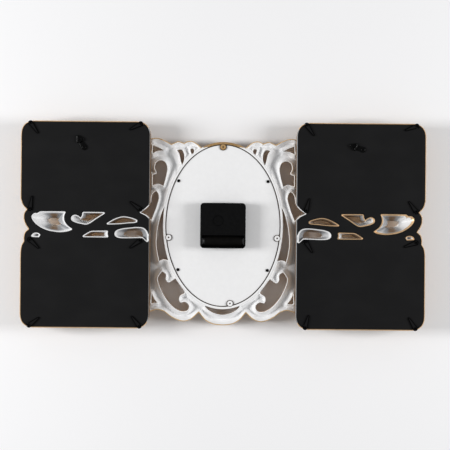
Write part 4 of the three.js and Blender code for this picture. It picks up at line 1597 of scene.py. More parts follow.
    def _bosses(self) -> None:
        """Makes the half-round bosses with their pilot holes, each in a ring of painted shadow."""
        s = self.sizes
        made = []
        for x, z in s.bosses():
            boss = disc(s.boss_radius - 0.1, self.rear + 0.25, s.plate_rear - 0.4, x, z)
            drilled(boss, [disc(s.pilot_radius, self.rear + 1, self.rear - 1.1, x, z, 24)])
            # A dark disc round each boss, painted as the shadow in the gap between boss and plate
            line = disc(s.boss_radius + 0.5, self.rear + 0.06, self.rear - 0.8, x, z)
            made += [bevel(boss, 0.3), line]
        bosses = join("plate_bosses", made)
        places = points_of(bosses)
        away = np.min([np.hypot(places[:, 0] - x, places[:, 2] - z) for x, z in s.bosses()], 0)
        pilot = (away < s.pilot_radius + 0.05) & (places[:, 1] < self.rear + 0.15)
        # Painted shadow: the pilot holes and the disc round each boss are painted dark
        dark = (away > s.boss_radius + 0.2) | pilot
        paint_points(bosses, "spray", np.where(dark | (places[:, 2] > s.sprayed_z), SPRAYED, 0.0))
        paint_points(bosses, "crest", np.where(dark, GAP_SHADOW, 0.75))
        dress(smooth(bosses), self.finishes.casting)


# Distances of a wing's rows of points: outside its windows, as growth of both sides, and from its
# edges
BORDER_ROWS = (2, 4, 6, 8, 10, 11.6, 12.4, 13.4, 14.4, 15.4, 16.4, 17.4, 18.4, 20, 22)
WING_RIMS = (0.3, 0.8, 1.55, 1.66, 2.6)


@dataclass
class Wing:
    """One wing: pierced moulding with two photo windows, and its black back board."""

    side: Side
    finishes: Finishes
    width: float = 160.0
    inner_x: float = 90.5
    half_height: float = 128.0
    strip: float = 18.0
    corner: float = 18.0
    rear: float = -3.5
    front: float = -21.5
    recess: float = -6.05
    pocket_level: float = -8.9
    sight_level: float = -12.5
    pocket: Pair = (127.6, 89.6)
    sight: Pair = (119.0, 81.0)
    slope: float = 6.0
    rim: float = 1.2
    board_inset: float = 1.5
    board_thickness: float = 2.5
    fit: float = 0.3
    boss: float = 3.0
    pivot_inset: Pair = (12.0, 3.0)
    pivot_rise: float = 1.2
    edge_round: float = 3.4
    hole_round: float = 1.6
    cove: tuple[float, float, float] = (1.1, 8.0, 0.9)
    hole_groove: tuple[float, float, float] = (1.3, 2.8, 0.6)
    edge_groove: tuple[float, float, float] = (0.9, 4.4, 0.5)
    leaf_height: float = 0.9
    leaf_reach: float = 21.0
    leaf_inset: float = 4.0
    flutes: int = 6
    pearl_radius: float = 0.98
    pearl_spacing: float = 2.35
    pearl_margin: float = 16.0
    pearl_level: float = 0.55
    narrowing_reach: float = 3.0
    spray_width: float = 2.4
    spray_level: float = 0.95
    gold_depth: float = 3.4
    joint_width: float = 1.6
    tinted_rims: tuple[int, ...] = (0, 1, 2, 3, 5)
    step: float = 1.25
    window_step: float = 2.0
    grid: float = 1.6
    board_grid: float = 7.0

    @property
    def middle_x(self) -> float:
        """Middle of the wing's width."""
        return self.side.value * (self.inner_x + self.width / 2)

    def panel_z(self, panel: Panel) -> float:
        """Middle height of a photo panel."""
        return panel.value * (self.half_height + self.strip) / 2

    def strip_shape(self, shares: list[list[float]], closed: bool = True) -> Array:
        """Outline from shares of the wing's width and the strip's half height."""
        points = [[self.side.value * (self.inner_x + p[0] * self.width), p[1] * self.strip, *p[2:]]
                  for p in shares]
        return outline_through(points, self.step, closed)

    def outline(self) -> Array:
        """Outer edge of the wing.

        Returns:
            The outline.
        """
        outer = self.side.value * (self.inner_x + self.width)
        inner = self.side.value * self.inner_x
        h, r = self.half_height, self.corner
        corners = [(outer, -h, r), (inner, -h, r), (inner, h, r), (outer, h, r)]
        body = rounded_corners(corners, self.step)
        return fill_in(np.vstack([self.strip_shape(STRIP_EDGE, False), body]), self.step)

    def piercings(self) -> Outlines:
        """Openings between the two panels.

        Returns:
            Their outlines, in the order of STRIP_WALLS.
        """
        centre = ScrollCentre(self.finishes)
        tongue = outline_through(centre.scaled(PIERCINGS["tongue"], self.side.value), self.step)
        rims = [self.strip_shape(shape) for shape in STRIP_RIMS.values()]
        return [*[moved_outline(rim, -self.rim / 2) for rim in rims], tongue]

    def pivots(self) -> dict[str, Pair]:
        """Places of the eight clip rivets.

        Returns:
            The places by panel, column and row.
        """
        columns = {"outer": self.inner_x + self.width - self.pivot_inset[0],
                   "inner": self.inner_x + self.pivot_inset[0]}
        high, low = self.half_height - self.pivot_inset[1], self.strip + self.pivot_rise
        rows = {("upper", "top"): high, ("upper", "bottom"): low, ("lower", "top"): -low,
                ("lower", "bottom"): -high}
        return {f"{panel}_{column}_{row}": (self.side.value * x, z)
                for (panel, row), z in rows.items() for column, x in columns.items()}

    def windows(self, size: Pair, grow: float = 0.0) -> Outlines:
        """Rectangles round both panels' middles."""
        return [rectangle(self.middle_x, self.panel_z(panel), size[0] + grow, size[1] + grow,
                          self.window_step) for panel in Panel]

    def build(self) -> None:
        """Makes the moulding, its pearls and the back board."""
        outer, holes = self.outline(), self.piercings()
        self._moulding(outer, holes)
        self._pearls()
        self._board(outer, holes)

    def _moulding(self, outer: Array, holes: Outlines) -> None:
        """Makes the pierced frame with its relief.

        Args:
            outer: the outer edge.
            holes: the piercings.
        """
        pivots = list(self.pivots().values())
        rows = [circle(x, z, self.boss + shift) for x, z in pivots for shift in (-0.06, 0.06)]
        rows += [row for grow in (-0.1, 0.1) for row in self.windows(self.pocket, grow)]
        rows += [row for grow in BORDER_ROWS for row in self.windows(self.sight, grow)]
        sheet = CastSheet(outer, [*holes, *self.windows(self.sight)], self.grid, WING_RIMS, rows)

        def window_distance(flat: Array, size: Pair) -> Array:
            """Distance from the nearest window.

            Args:
                flat: places in X and Z.
                size: the window's width and height.

            Returns:
                The distance of each place, negative inside the window.
            """
            x = np.abs(flat[:, 0] - self.middle_x) - size[0] / 2
            z = np.abs(np.abs(flat[:, 1]) - self.panel_z(Panel.UPPER)) - size[1] / 2
            outside = np.hypot(np.maximum(x, 0), np.maximum(z, 0))
            return np.where((x < 0) & (z < 0), np.maximum(x, z), outside)

        def rear(flat: Array) -> Array:
            """Rear level: rims, clip bosses, the board's recess and the pockets.

            Args:
                flat: places in X and Z.

            Returns:
                The level at each place.
            """
            near_hole = distance_to(flat, holes)
            near_edge = distance_to(flat, [outer])
            pocket = window_distance(flat, self.pocket) < 0
            level = np.where(pocket, self.pocket_level, self.recess)
            for x, z in pivots:
                level[np.hypot(flat[:, 0] - x, flat[:, 1] - z) < self.boss] = self.rear
            level = np.where(near_hole < self.rim, self.rear - round_over(near_hole, 0.4), level)
            return np.where(near_edge < self.board_inset - self.fit,
                            self.rear - round_over(near_edge, 0.5), level)

        def front(flat: Array) -> Array:
            """Front level: a cushion border with grooves, sloping to the windows.

            Args:
                flat: places in X and Z.

            Returns:
                The level at each place.
            """
            near_hole = distance_to(flat, holes)
            near_edge = distance_to(flat, [outer])
            away = np.maximum(window_distance(flat, self.sight), 0)
            t = np.clip(away / self.slope, 0, 1)
            scoop = self.sight_level + (self.front - self.sight_level) * (
                0.4 * t + 0.6 * (1 - np.cos(t * QUARTER_TURN)))
            cove, groove, bead = ((height * ridge(distance, at, width))
                                  for distance, (height, at, width) in (
                                      (away, self.cove), (near_edge, self.edge_groove),
                                      (near_hole, self.hole_groove)))
            bead = round_over(near_hole, self.hole_round) + bead
            edge = round_over(near_edge, self.edge_round)
            cushion = 1 - ease((np.minimum(near_edge, away - self.slope) - 3.5) / 3)
            border = self.front + np.maximum(edge, bead) + groove + cove + cushion * 0.6
            border += self._leaves(flat)
            return np.where(away < self.slope, np.maximum(scoop, self.front + bead), border)

        piece = sheet.build(f"{self.side.word}_pierced_wing", rear, front, 6)
        self._paint(piece, outer, holes)
        self._narrow(piece, holes)
        dress(piece, self.finishes.casting, "frame",
              [f"{self.side.word}_wing_moulding"])

    def _narrow(self, piece: Piece, holes: Outlines) -> None:
        """Rounds each piercing's wall over, so that it narrows towards the front.

        Args:
            piece: the moulding.
            holes: the piercings.
        """
        places, depth = points_of(piece), numbers_of(piece, "depth")
        flat = places[:, [0, 2]]
        moved = flat.copy()
        for hole, (share, _) in zip(holes, STRIP_WALLS):
            near = np.clip(1 - distance_to(flat, [hole]) / self.narrowing_reach, 0, 1)
            middle = hole.mean(0) - (self.side.value * 1.5, 0)
            moved += (middle - flat) * (near * np.sin(depth * QUARTER_TURN) * share)[:, None]
        places[:, [0, 2]] = moved
        piece.data.vertices.foreach_set("co", (places * MM).astype(np.float32).ravel())
        piece.data.update()

    def _leaves(self, flat: Array) -> Array:
        """Fluted shells in the corners of each panel's border.

        Args:
            flat: places in X and Z.

        Returns:
            How far the shells lower the front at each place.
        """
        out = np.zeros(len(flat))
        heights = (self.half_height, self.strip + 12, -self.strip - 12, -self.half_height)
        for x_side in (-1, 1):
            x = self.middle_x + x_side * (self.width / 2 - self.leaf_inset)
            for z in heights:
                dx, dz = flat[:, 0] - x, flat[:, 1] - z * 0.985
                far = np.hypot(dx, dz)
                fade = ease((self.leaf_reach - far) / 9) * ease((far - 2.5) / 2)
                fluting = np.abs(np.sin(np.arctan2(dz, dx) * self.flutes)) ** 0.7
                out += self.leaf_height * fade * fluting
        return out

    def _pearls(self) -> None:
        """Makes a row of small pearls round each photo window."""
        bpy.ops.mesh.primitive_uv_sphere_add(segments=8, ring_count=6,
                                             radius=self.pearl_radius * MM)
        pearl = bpy.context.active_object
        ball = points_of(pearl)
        polygons = [list(face.vertices) for face in pearl.data.polygons]
        bpy.data.objects.remove(pearl)
        places, faces, start = [], [], 0
        for panel in Panel:
            width, height = (size + self.pearl_margin for size in self.sight)
            row = rectangle(self.middle_x, self.panel_z(panel), width, height, 400.0)
            for x, z in spaced(row, self.pearl_spacing, True):
                places.append(ball + (x, self.front + self.pearl_level, z))
                faces += [[start + i for i in polygon] for polygon in polygons]
                start += len(ball)
        piece = new_piece(f"{self.side.word}_window_pearls", np.vstack(places), faces)
        paint_points(piece, "spray", np.full(start, SPRAYED))
        paint_points(piece, "crest", np.full(start, 0.75))
        dress(smooth(piece, 80), self.finishes.casting)

    def _paint(self, piece: Piece, outer: Array, holes: Outlines) -> None:
        """Stores where the bronze spray reached, where the paint is rubbed and where shade is
        painted.

        Args:
            piece: the moulding.
            outer: its outer edge.
            holes: its piercings, not yet narrowed.
        """
        places, depth = points_of(piece), numbers_of(piece, "depth")
        flat = places[:, [0, 2]]
        across = np.abs(flat[:, 0]) - self.inner_x
        free = ease((across - 0.8) / 3.0)
        near_edge = distance_to(flat, [outer])
        spray = ridge(near_edge, 0, self.spray_width) * free
        wall = ease((depth - 0.05) / 0.3)
        # Painted shade: a grey strip along the joint with the scroll centre
        hollow = (1 - free) * (near_edge < self.joint_width) * np.where(depth > 0, 0.9, 1.0)
        rims = np.full(len(flat), 100.0)
        crest = np.clip((self.front + self.gold_depth - places[:, 1]) / self.gold_depth, 0, 1)
        crest = np.where(depth > FRONT_FACE, crest, np.where(depth > REAR_FACE, 0.42, 1.9))
        for place, (hole, (_, shades)) in enumerate(zip(holes, STRIP_WALLS)):
            near = distance_to(flat, [hole])
            reach = np.abs(hole[:, 0]) - self.inner_x
            along = np.clip((across - reach.min()) / np.ptp(reach), 0, 1)
            here = (near < 0.02) & (depth < FRONT_FACE)
            # Painted light and shade across each piercing's wall: white where side light falls,
            # grey and brown in shade
            shade = np.interp(along, np.linspace(0, 1, len(shades)), shades) + 0.2 * depth
            hollow = np.where(here, shade * ease((depth - 0.01) / 0.06), hollow)
            bare = list(STRIP_RIMS).index("cap") == place
            wall = np.where(here, 0 if bare else SPRAYED * ease((depth - 0.86) / 0.1), wall)
            crest = np.where(here & (depth > REAR_FACE), 0.15, crest)
            if self.side is Side.LEFT and place in self.tinted_rims:
                white = {0: along > 0.8, 3: along < 0.4}.get(place, False)
                rims = np.minimum(rims, near + 4.0 * (white & (depth > REAR_FACE)))
        spray = np.maximum(spray, np.where(depth > FRONT_FACE, SPRAYED, wall))
        tint = self.spray_level * ease((1.9 - rims) / 0.3) * (depth < 0.05)
        lip = (across < 0.6) & (depth < 0.12) & (self.side is Side.RIGHT)
        paint_points(piece, "spray", np.where(lip, SPRAYED, np.maximum(spray, tint)))
        paint_points(piece, "crest", np.where(lip, -0.5, crest))
        paint_points(piece, "hollow", hollow)

    def _board(self, outer: Array, holes: Outlines) -> None:
        """Makes the black back board, cut out round the piercings and the clip bosses.

        Args:
            outer: the wing's outer edge.
            holes: the piercings.
        """
        edge = moved_outline(outer, -self.board_inset)
        cuts = [moved_outline(hole, self.rim + self.fit) for hole in holes]
        cuts += [circle(x, z, self.boss + self.fit) for x, z in self.pivots().values()]
        sheet = CastSheet(edge, cuts, self.board_grid, (0.07, 0.2, 0.4))
        name = self.side.word
        piece = sheet.plate(f"{name}_black_board", self.rear, self.rear - self.board_thickness,
                            0.25, [edge, *cuts])
        dress(piece, self.finishes.board, "frame", [f"{name}_back_board"])


@dataclass
class TurnClip:
    """A black teardrop clip with its tubular rivet, copied to every corner of the photo panels."""

    finishes: Finishes
    wings: list[Wing]
    pivot_radius: float = 3.1
    tip_radius: float = 1.3
    length: float = 14.7
    rear: float = -2.0
    front: float = -3.2
    rolled_edge: float = 0.95
    head_radius: float = 1.7
    head_rear: float = -1.3
    head_wall: float = 0.62
    head_depth: float = 0.75

    def model(self) -> Piece:
        """Models one clip at the origin, its tip along +X.

        Returns:
            The clip, with the attribute "face", 1 on the plate's face and 0 on its edge, painted as
            shadow.
        """
        plate = flat_disc(self.pivot_radius, self.front, 48)
        share = self.tip_radius / self.pivot_radius
        lean = math.acos((self.pivot_radius - self.tip_radius) / self.length)
        with editing(plate):
            select_where(plate, "VERT", lambda p, n: abs(math.atan2(p.z, p.x)) < lean + 0.01)
            bpy.ops.transform.resize(value=(share, 1, share),
                                     center_override=(0, self.front * MM, 0))
            bpy.ops.transform.translate(value=(self.length * MM, 0, 0))
            raise_all(self.rear - self.front)
        bevel(face_out(plate), 0.32, 3)
        with editing(plate):
            select_where(plate, "FACE", lambda p, n: n.y > FLAT)
            bpy.ops.mesh.inset(thickness=self.rolled_edge * MM, depth=-0.16 * MM)
        # Painted shadow: the inset edge band keeps face 0 and so is painted near black
        face = np.zeros(len(plate.data.vertices))
        face[[i for polygon in plate.data.polygons if polygon.select for i in polygon.vertices]] = 1
        paint_points(plate, "face", face)
        rivet = disc(self.head_radius, self.head_rear, self.rear - 0.3, sides=28)
        with editing(rivet):
            select_where(rivet, "FACE", lambda p, n: n.y > FLAT)
            bpy.ops.mesh.inset(thickness=self.head_wall * MM)
            bpy.ops.mesh.extrude_region_move(
                TRANSFORM_OT_translate={"value": (0, -self.head_depth * MM, 0)})
        bevel(rivet, 0.2)
        # Painted shade: the rivet's sides are near black, its head part way to the face's colour
        head = points_of(rivet)[:, 1] > self.head_rear - 0.1
        paint_points(rivet, "face", np.where(head, 0.7, 0.1))
        return smooth(join("clip_model", [plate, rivet]))

    def build(self) -> None:
        """Copies the clip to all sixteen pivots."""
        clip = self.model()
        for wing in self.wings:
            word = wing.side.word
            for place, (x, z) in wing.pivots().items():
                turn = Matrix.Rotation(-math.radians(CLIP_TURNS[word][place]), 4, "Y")
                piece = copy_of(clip, f"turn_clip_{word}_{place}",
                                Matrix.Translation((x * MM, 0, z * MM)) @ turn)
                panel, column, row = place.split("_")
                dress(smooth(piece), self.finishes.clip,
                      f"clip_{word[0]}{panel[0]}_{column}_{row}", [f"clip_{word}_{place}"])
        bpy.data.objects.remove(clip)


CLIP_TURNS = {
    "right": {
        "upper_outer_top": -125.5, "upper_inner_top": -28.8, "upper_outer_bottom": 99.5,
        "upper_inner_bottom": 36.9, "lower_outer_top": -136.5, "lower_inner_top": -37.3,
        "lower_outer_bottom": 141.7, "lower_inner_bottom": 51.7,
    },
    "left": {
        "upper_outer_top": -20.9, "upper_inner_top": -125, "upper_outer_bottom": 53.6,
        "upper_inner_bottom": 105.3, "lower_outer_top": -20, "lower_inner_top": -121.8,
        "lower_outer_bottom": 57.7, "lower_inner_bottom": 105.3,
    },
}


def cross_screw(radius: float, rear: float, front: float, shank: float, tip: float) -> Piece:
    """Pan head screw along Y with a cross recess.

    Args:
        radius: of the head.
        rear: level of the head's top.
        front: level that the head sits on.
        shank: the shank's radius.
        tip: level where the shank ends.

    Returns:
        The screw, at the axis.
    """
    head = disc(radius, rear, front, sides=32)
    bevel(head, (rear - front) * 0.55, 4)
    arm, width, top = radius * 0.62, radius * 0.13, rear + 1
    floor = rear - (rear - front) * 0.75
    drilled(head, [block((-x, floor, -z), (x, top, z)) for x, z in ((arm, width), (width, arm))])
    rod = disc(shank, front + 0.05, tip, sides=16)
    return smooth(join("screw_model", [head, rod]))


@dataclass
class Hanger:
    """A folded strap with an eye, its screw and a bent wire ring, on one wing."""

    side: Side
    finishes: Finishes
    x: float = 172.0
    z: float = 95.3
    turn: float = 31.5
    strap_rear: float = -2.4
    strap_front: float = -3.2
    end_radius: float = 3.7
    reach: float = 9.2
    eye_radius: float = 1.6
    eye_bore: float = 1.15
    eye_length: float = 6.0
    wire: float = 1.6
    wire_bend: float = 1.7
    ring_width: float = 12.4
    ring_height: float = 10.7
    middle: float = -1.6

    def build(self) -> None:
        """Makes the strap, the screw and the ring."""
        word = self.side.word
        spot = (Matrix.Translation((self.side.value * self.x * MM, 0, self.z * MM))
                @ Matrix.Rotation(math.radians(self.turn), 4, "Y"))
        for part, kind, piece, body in (
                ("strap", "hook", self._strap(), "frame"),
                ("screw", "hook", cross_screw(2.3, -1.4, -2.35, 0.9, -6.0), "frame"),
                ("ring", "wire", self._ring(), f"{word}_ring")):
            piece.data.transform(spot)
            piece.name = piece.data.name = f"{word}_{kind}_{part}"
            dress(piece, self.finishes.steel_black, body, [f"{word}_hanger_{part}"])

    def _strap(self) -> Piece:
        """Makes the round ended strap whose far end curls into an eye along X.

        Returns:
            The strap, its screw hole at the origin.
        """
        plate = flat_disc(self.end_radius, self.strap_front, 36)
        waist = self.end_radius * 0.5
        half_waist = self.end_radius * 0.866
        with editing(plate):
            select_where(plate, "VERT", lambda p, n: p.z > waist)
            bpy.ops.transform.resize(value=(self.eye_length / 2 / half_waist, 1, 0),
                                     center_override=(0, self.strap_front * MM, waist * MM))
            bpy.ops.transform.translate(value=(0, 0, (self.reach - waist) * MM))
            bpy.ops.mesh.select_all(action="SELECT")
            bpy.ops.mesh.remove_doubles(threshold=0.00001)
            raise_all(self.strap_rear - self.strap_front)
        bevel(face_out(plate), 0.2)
        middle = (0, self.middle, self.reach)
        eye = bar(self.eye_radius, self.eye_length, middle, 28)
        drilled(eye, [bar(self.eye_bore, self.eye_length + 2, middle, 24)])
        bevel(eye, 0.15)
        return smooth(join("strap_model", [plate, eye]))

    def _ring(self) -> Piece:
        """Makes the closed three-cornered ring of round wire.

        Returns:
            The ring, its foot in the strap's eye.
        """
        half, foot = self.ring_width / 2, self.reach - self.wire / 2
        inset, bend = self.wire / 2, self.wire_bend
        slope = math.hypot(half, self.ring_height)
        low = half - inset * (slope + half) / self.ring_height
        top = foot + self.ring_height - inset * slope / half
        path = rounded_polygon([(-low, foot + inset, bend), (low, foot + inset, bend),
                                (0, top, bend)], 0.35)
        section = circle(0, self.middle, inset, 14)
        return swept_oval("ring_model", path, section)


@dataclass
class ClockPlate:
    """The white oval plate and the four screws that hold it."""

    finishes: Finishes
    sizes: OvalSizes = field(default_factory=OvalSizes)
    shaft_hole: float = 5.1

    def build(self) -> None:
        """Makes the plate and copies the screws."""
        s = self.sizes
        outline = moved_outline(s.notched(1.0), -s.gap)
        sheet = CastSheet(outline, [circle(0, 0, self.shaft_hole, 36)], 5.0, (0.1, 0.3, 0.5))
        plate = sheet.plate("oval_plate", s.plate_rear, s.plate_front, 0.45, [outline])
        dress(plate, self.finishes.plate, "frame", ["clock_back_plate"])
        screw = cross_screw(2.0, -16.1, -17.15, 1.2, -25.0)
        for name, (x, z) in s.screws().items():
            place = Matrix.Translation((x * MM, 0, z * MM)) @ Matrix.Rotation(0.7 * x + z, 4, "Y")
            piece = smooth(copy_of(screw, f"small_screw_{name}", place))
            dress(piece, self.finishes.steel_black, "frame", [f"plate_screw_{name}"])
        bpy.data.objects.remove(screw)


# Raised marks of the case: two opposite corners in X and Z, and the height
CASE_MARKS = [(-13.2, 2.6, -6.6, 3.2, 0.22), (-21, 0.2, -16.5, 1.0, 0.2),
              (-20, -9.2, -15.5, -8.4, 0.2), (-24.5, -10.6, 24.5, -9.9, 0.25)]


@dataclass
class Movement:
    """Black quartz movement: case with an open battery bay, cell, contacts and setting wheel."""

    finishes: Finishes
    half: float = 28.0
    corner: float = 4.5
    rear: float = -0.9
    front: float = -15.6
    bay: Pair = (52.0, 14.6)
    bay_z: float = -19.3
    wall: float = 1.2
    pocket_floor: float = -3.1
    cell_radius: float = 7.0
    cell_x: float = -0.6
    cell_y: float = -8.5
    contact_x: float = 25.7
    knob: Pair = (5.94, 5.94)
    knob_radius: float = 6.2
    knob_rear: float = -0.85
    ribs: int = 24

    def build(self) -> None:
        """Makes the case, the cell, its contacts and the setting wheel."""
        self._case()
        self._cell()
        self._contacts()
        self._wheel()

    def _case(self) -> None:
        """Makes the case with its bay, its wheel pocket and small raised marks."""
        case = block((-self.half, self.front, -self.half), (self.half, self.rear, self.half))
        with editing(case):
            bpy.ops.mesh.select_mode(type="EDGE")
            for edge in bmesh.from_edit_mesh(case.data).edges:
                a, b = edge.verts
                edge.select = abs(a.co.y - b.co.y) > 5 * MM
            bmesh.update_edit_mesh(case.data)
            bpy.ops.mesh.bevel(offset=self.corner * MM, segments=6, affect="EDGES")
        w, h = self.bay[0] / 2, self.bay[1] / 2
        drilled(case, [
            block((-w, self.front + self.wall, self.bay_z - h), (w, self.rear + 1, self.bay_z + h)),
            disc(self.knob_radius + 0.3, self.rear + 1, self.pocket_floor, *self.knob),
        ])
        bevel(case, 0.5, 3, 50)
        marks = [bevel(block((x0, self.rear - 0.4, z0), (x1, self.rear + height, z1)), 0.12)
                 for x0, z0, x1, z1, height in CASE_MARKS]
        case = join("black_movement_case", [case, *marks])
        dress(smooth(case), self.finishes.case, "frame", ["movement_case"])

    def _cell(self) -> None:
        """Makes the round cell in its dark sleeve, with a plated end and nub."""
        middle = (self.cell_x, self.cell_y, self.bay_z)
        nub = (self.cell_x + 24.9, self.cell_y, self.bay_z)
        sleeve = bevel(bar(self.cell_radius, 47.4, middle, 56), 0.6, 3)
        ends = [bar(self.cell_radius - 0.8, 49.0, middle), bar(2.6, 1.6, nub, 32)]
        plated = join("cell_ends", [bevel(end, 0.3) for end in ends])
        sleeve.name = sleeve.data.name = "cell_sleeve"
        dress(smooth(sleeve), self.finishes.sleeve, "battery", ["battery"])
        dress(smooth(plated), self.finishes.cell_steel, "battery")

    def _contacts(self) -> None:
        """Makes a sprung strip at each end of the bay."""
        z = self.bay_z
        for name, x in (("plus", self.contact_x), ("minus", -self.contact_x)):
            strip = block((x - 0.2, -14.0, z - 4), (x + 0.2, -3.0, z + 4))
            lip = block((x - 0.9, -3.3, z - 3), (x + 0.5, -2.9, z + 3))
            contact = join(f"contact_strip_{name}", [bevel(part, 0.08, 1) for part in (strip, lip)])
            dress(smooth(contact), self.finishes.cell_steel, "frame",
                  [f"battery_contact_{name}"])

    def _wheel(self) -> None:
        """Makes the setting wheel with its ribbed rim and turning slot."""
        x, z = self.knob
        sides = 3 * self.ribs

        def ribbed(p: Vector, n: Vector) -> bool:
            """Whether a face is a rib's: every third one of the rim."""
            place = round(math.atan2(p.z - z, p.x - x) / FULL_TURN * sides - 0.5)
            return abs(n.y) < 0.1 and place % 3 == 0

        wheel = disc(self.knob_radius - 0.35, self.knob_rear, -3.0, x, z, sides)
        with editing(wheel):
            select_where(wheel, "FACE", ribbed)
            bpy.ops.mesh.extrude_region_shrink_fatten(
                TRANSFORM_OT_shrink_fatten={"value": 0.3 * MM})
        drilled(wheel, [disc(4.3, -0.5, -1.5, x, z)])
        bevel(wheel, 0.12, 2, 50)
        grip = block((x - 3.6, -2.0, z - 0.6), (x + 3.6, self.knob_rear, z + 0.6))
        shaft = disc(1.2, -2.9, -9.0, x, z, 20)
        wheel = join("ribbed_setting_wheel", [wheel, bevel(grip, 0.2), shaft])
        dress(smooth(wheel), self.finishes.case, "setter", ["time_set_wheel"])


@dataclass
class DialPrint:
    """The print on the dial: roman numerals, and a minute track with longer marks at the hours."""

    finishes: Finishes
    level: float = -20.3
    raised: float = 0.06
    sunk: float = 0.02
    numeral_radius: float = 45.0
    numeral_height: float = 11.0
    thick: float = 1.6
    thin: float = 0.6
    track: Pair = (51.9, 55.6)
    track_width: float = 0.35
    track_steps: int = 180
    mark_start: float = 52.2

    def build(self) -> None:
        """Makes the print from flat strokes."""
        quads: Outlines = []
        for minute in range(60):
            end, width = (55.2, 0.5) if minute % 5 else (56.4, 1.3)
            quads.append(self._stroke(minute * FULL_TURN / 60, 0, self.mark_start, 0, end, width))
        for i in range(self.track_steps):
            a, b = i * FULL_TURN / self.track_steps, (i + 1) * FULL_TURN / self.track_steps
            for low in self.track:
                high = low + self.track_width
                quads.append(np.array([[r * math.sin(t), r * math.cos(t)]
                                       for t, r in ((a, low), (b, low), (b, high), (a, high))]))
        for hour, numeral in enumerate(NUMERALS, 1):
            quads += self._numeral(hour * FULL_TURN / 12, numeral)
        vertices, faces = [], []
        for quad in quads:
            start = len(vertices)
            vertices += [(x, self.level + self.sunk, z) for x, z in quad]
            vertices += [(x, self.level - self.raised, z) for x, z in quad]
            a, b = [start + i for i in range(4)], [start + 4 + i for i in range(4)]
            faces += [a, b[::-1], *[[a[i - 1], b[i - 1], b[i], a[i]] for i in range(4)]]
        piece = face_out(new_piece("dial_print", np.array(vertices), faces))
        dress(piece, self.finishes.ink)

    def _stroke(self, turn: float, x0: float, z0: float, x1: float, z1: float,
                width: float) -> Array:
        """One stroke, laid out at twelve and then turned clockwise as the front sees it.

        Args:
            turn: the angle from twelve.
            x0: the start's place across the radius.
            z0: the start's place along the radius.
            x1: the end's place across the radius.
            z1: the end's place along the radius.
            width: the stroke's width.

        Returns:
            Its four corners.
        """
        a, b = np.array([x0, z0]), np.array([x1, z1])
        along = (b - a) / np.linalg.norm(b - a)
        side = np.array([along[1], -along[0]]) * width / 2
        x, z = np.array([a - side, b - side, b + side, a + side]).T
        c, s = math.cos(turn), math.sin(turn)
        return np.stack([x * c + z * s, -x * s + z * c], 1)

    def _numeral(self, turn: float, numeral: str) -> Outlines:
        """Strokes of one roman numeral, upright along the radius.

        Args:
            turn: its angle from twelve.
            numeral: its letters.

        Returns:
            The strokes and their serifs.
        """
        half, thick, thin = self.numeral_height / 2, self.thick, self.thin
        low, high = self.numeral_radius - half, self.numeral_radius + half
        # Of each letter: its width, and its strokes from the top offset to the foot offset
        letters = {"I": (3.0, [(0.0, 0.0, 1.5)]),
                   "V": (7.0, [(-2.3, 0.0, thick), (2.3, 0.0, thin)]),
                   "X": (7.4, [(-2.4, 2.4, thick), (2.4, -2.4, thin)])}
        x = -sum(letters[letter][0] for letter in numeral) / 2
        lines = []
        for letter in numeral:
            width, strokes = letters[letter]
            middle = x + width / 2
            lines += [(middle + top, high, middle + foot, low, wide) for top, foot, wide in strokes]
            lines += [(x + 0.25, z, x + width - 0.25, z, thin)
                      for z in ((high,) if letter == "V" else (high, low))]
            x += width
        return [self._stroke(turn, *line) for line in lines]


NUMERALS = ["I", "II", "III", "IV", "V", "VI", "VII", "VIII", "IX", "X", "XI", "XII"]


WHITE_LIGHT = (1.0, 1.0, 1.0, 1.0)
# Place, size, power, colour and bounces of each lamp. The one above the front doesn't bounce, so
# that none of its light comes through the piercings
LAMPS = {
    "behind_left": ((1620, 960, 40), (900, 500), 28.0, WHITE_LIGHT[:3], 1024),
    "behind_right": ((-1620, 960, 40), (900, 500), 21.0, WHITE_LIGHT[:3], 1024),
    "front_top": ((500, -1500, 1000), (1400, 900), 24.0, (1.0, 0.96, 0.9), 0),
    "front_glow": ((0, -1500, 0), (900, 900), 4.0, (1.0, 0.8, 0.6), 1024),
}


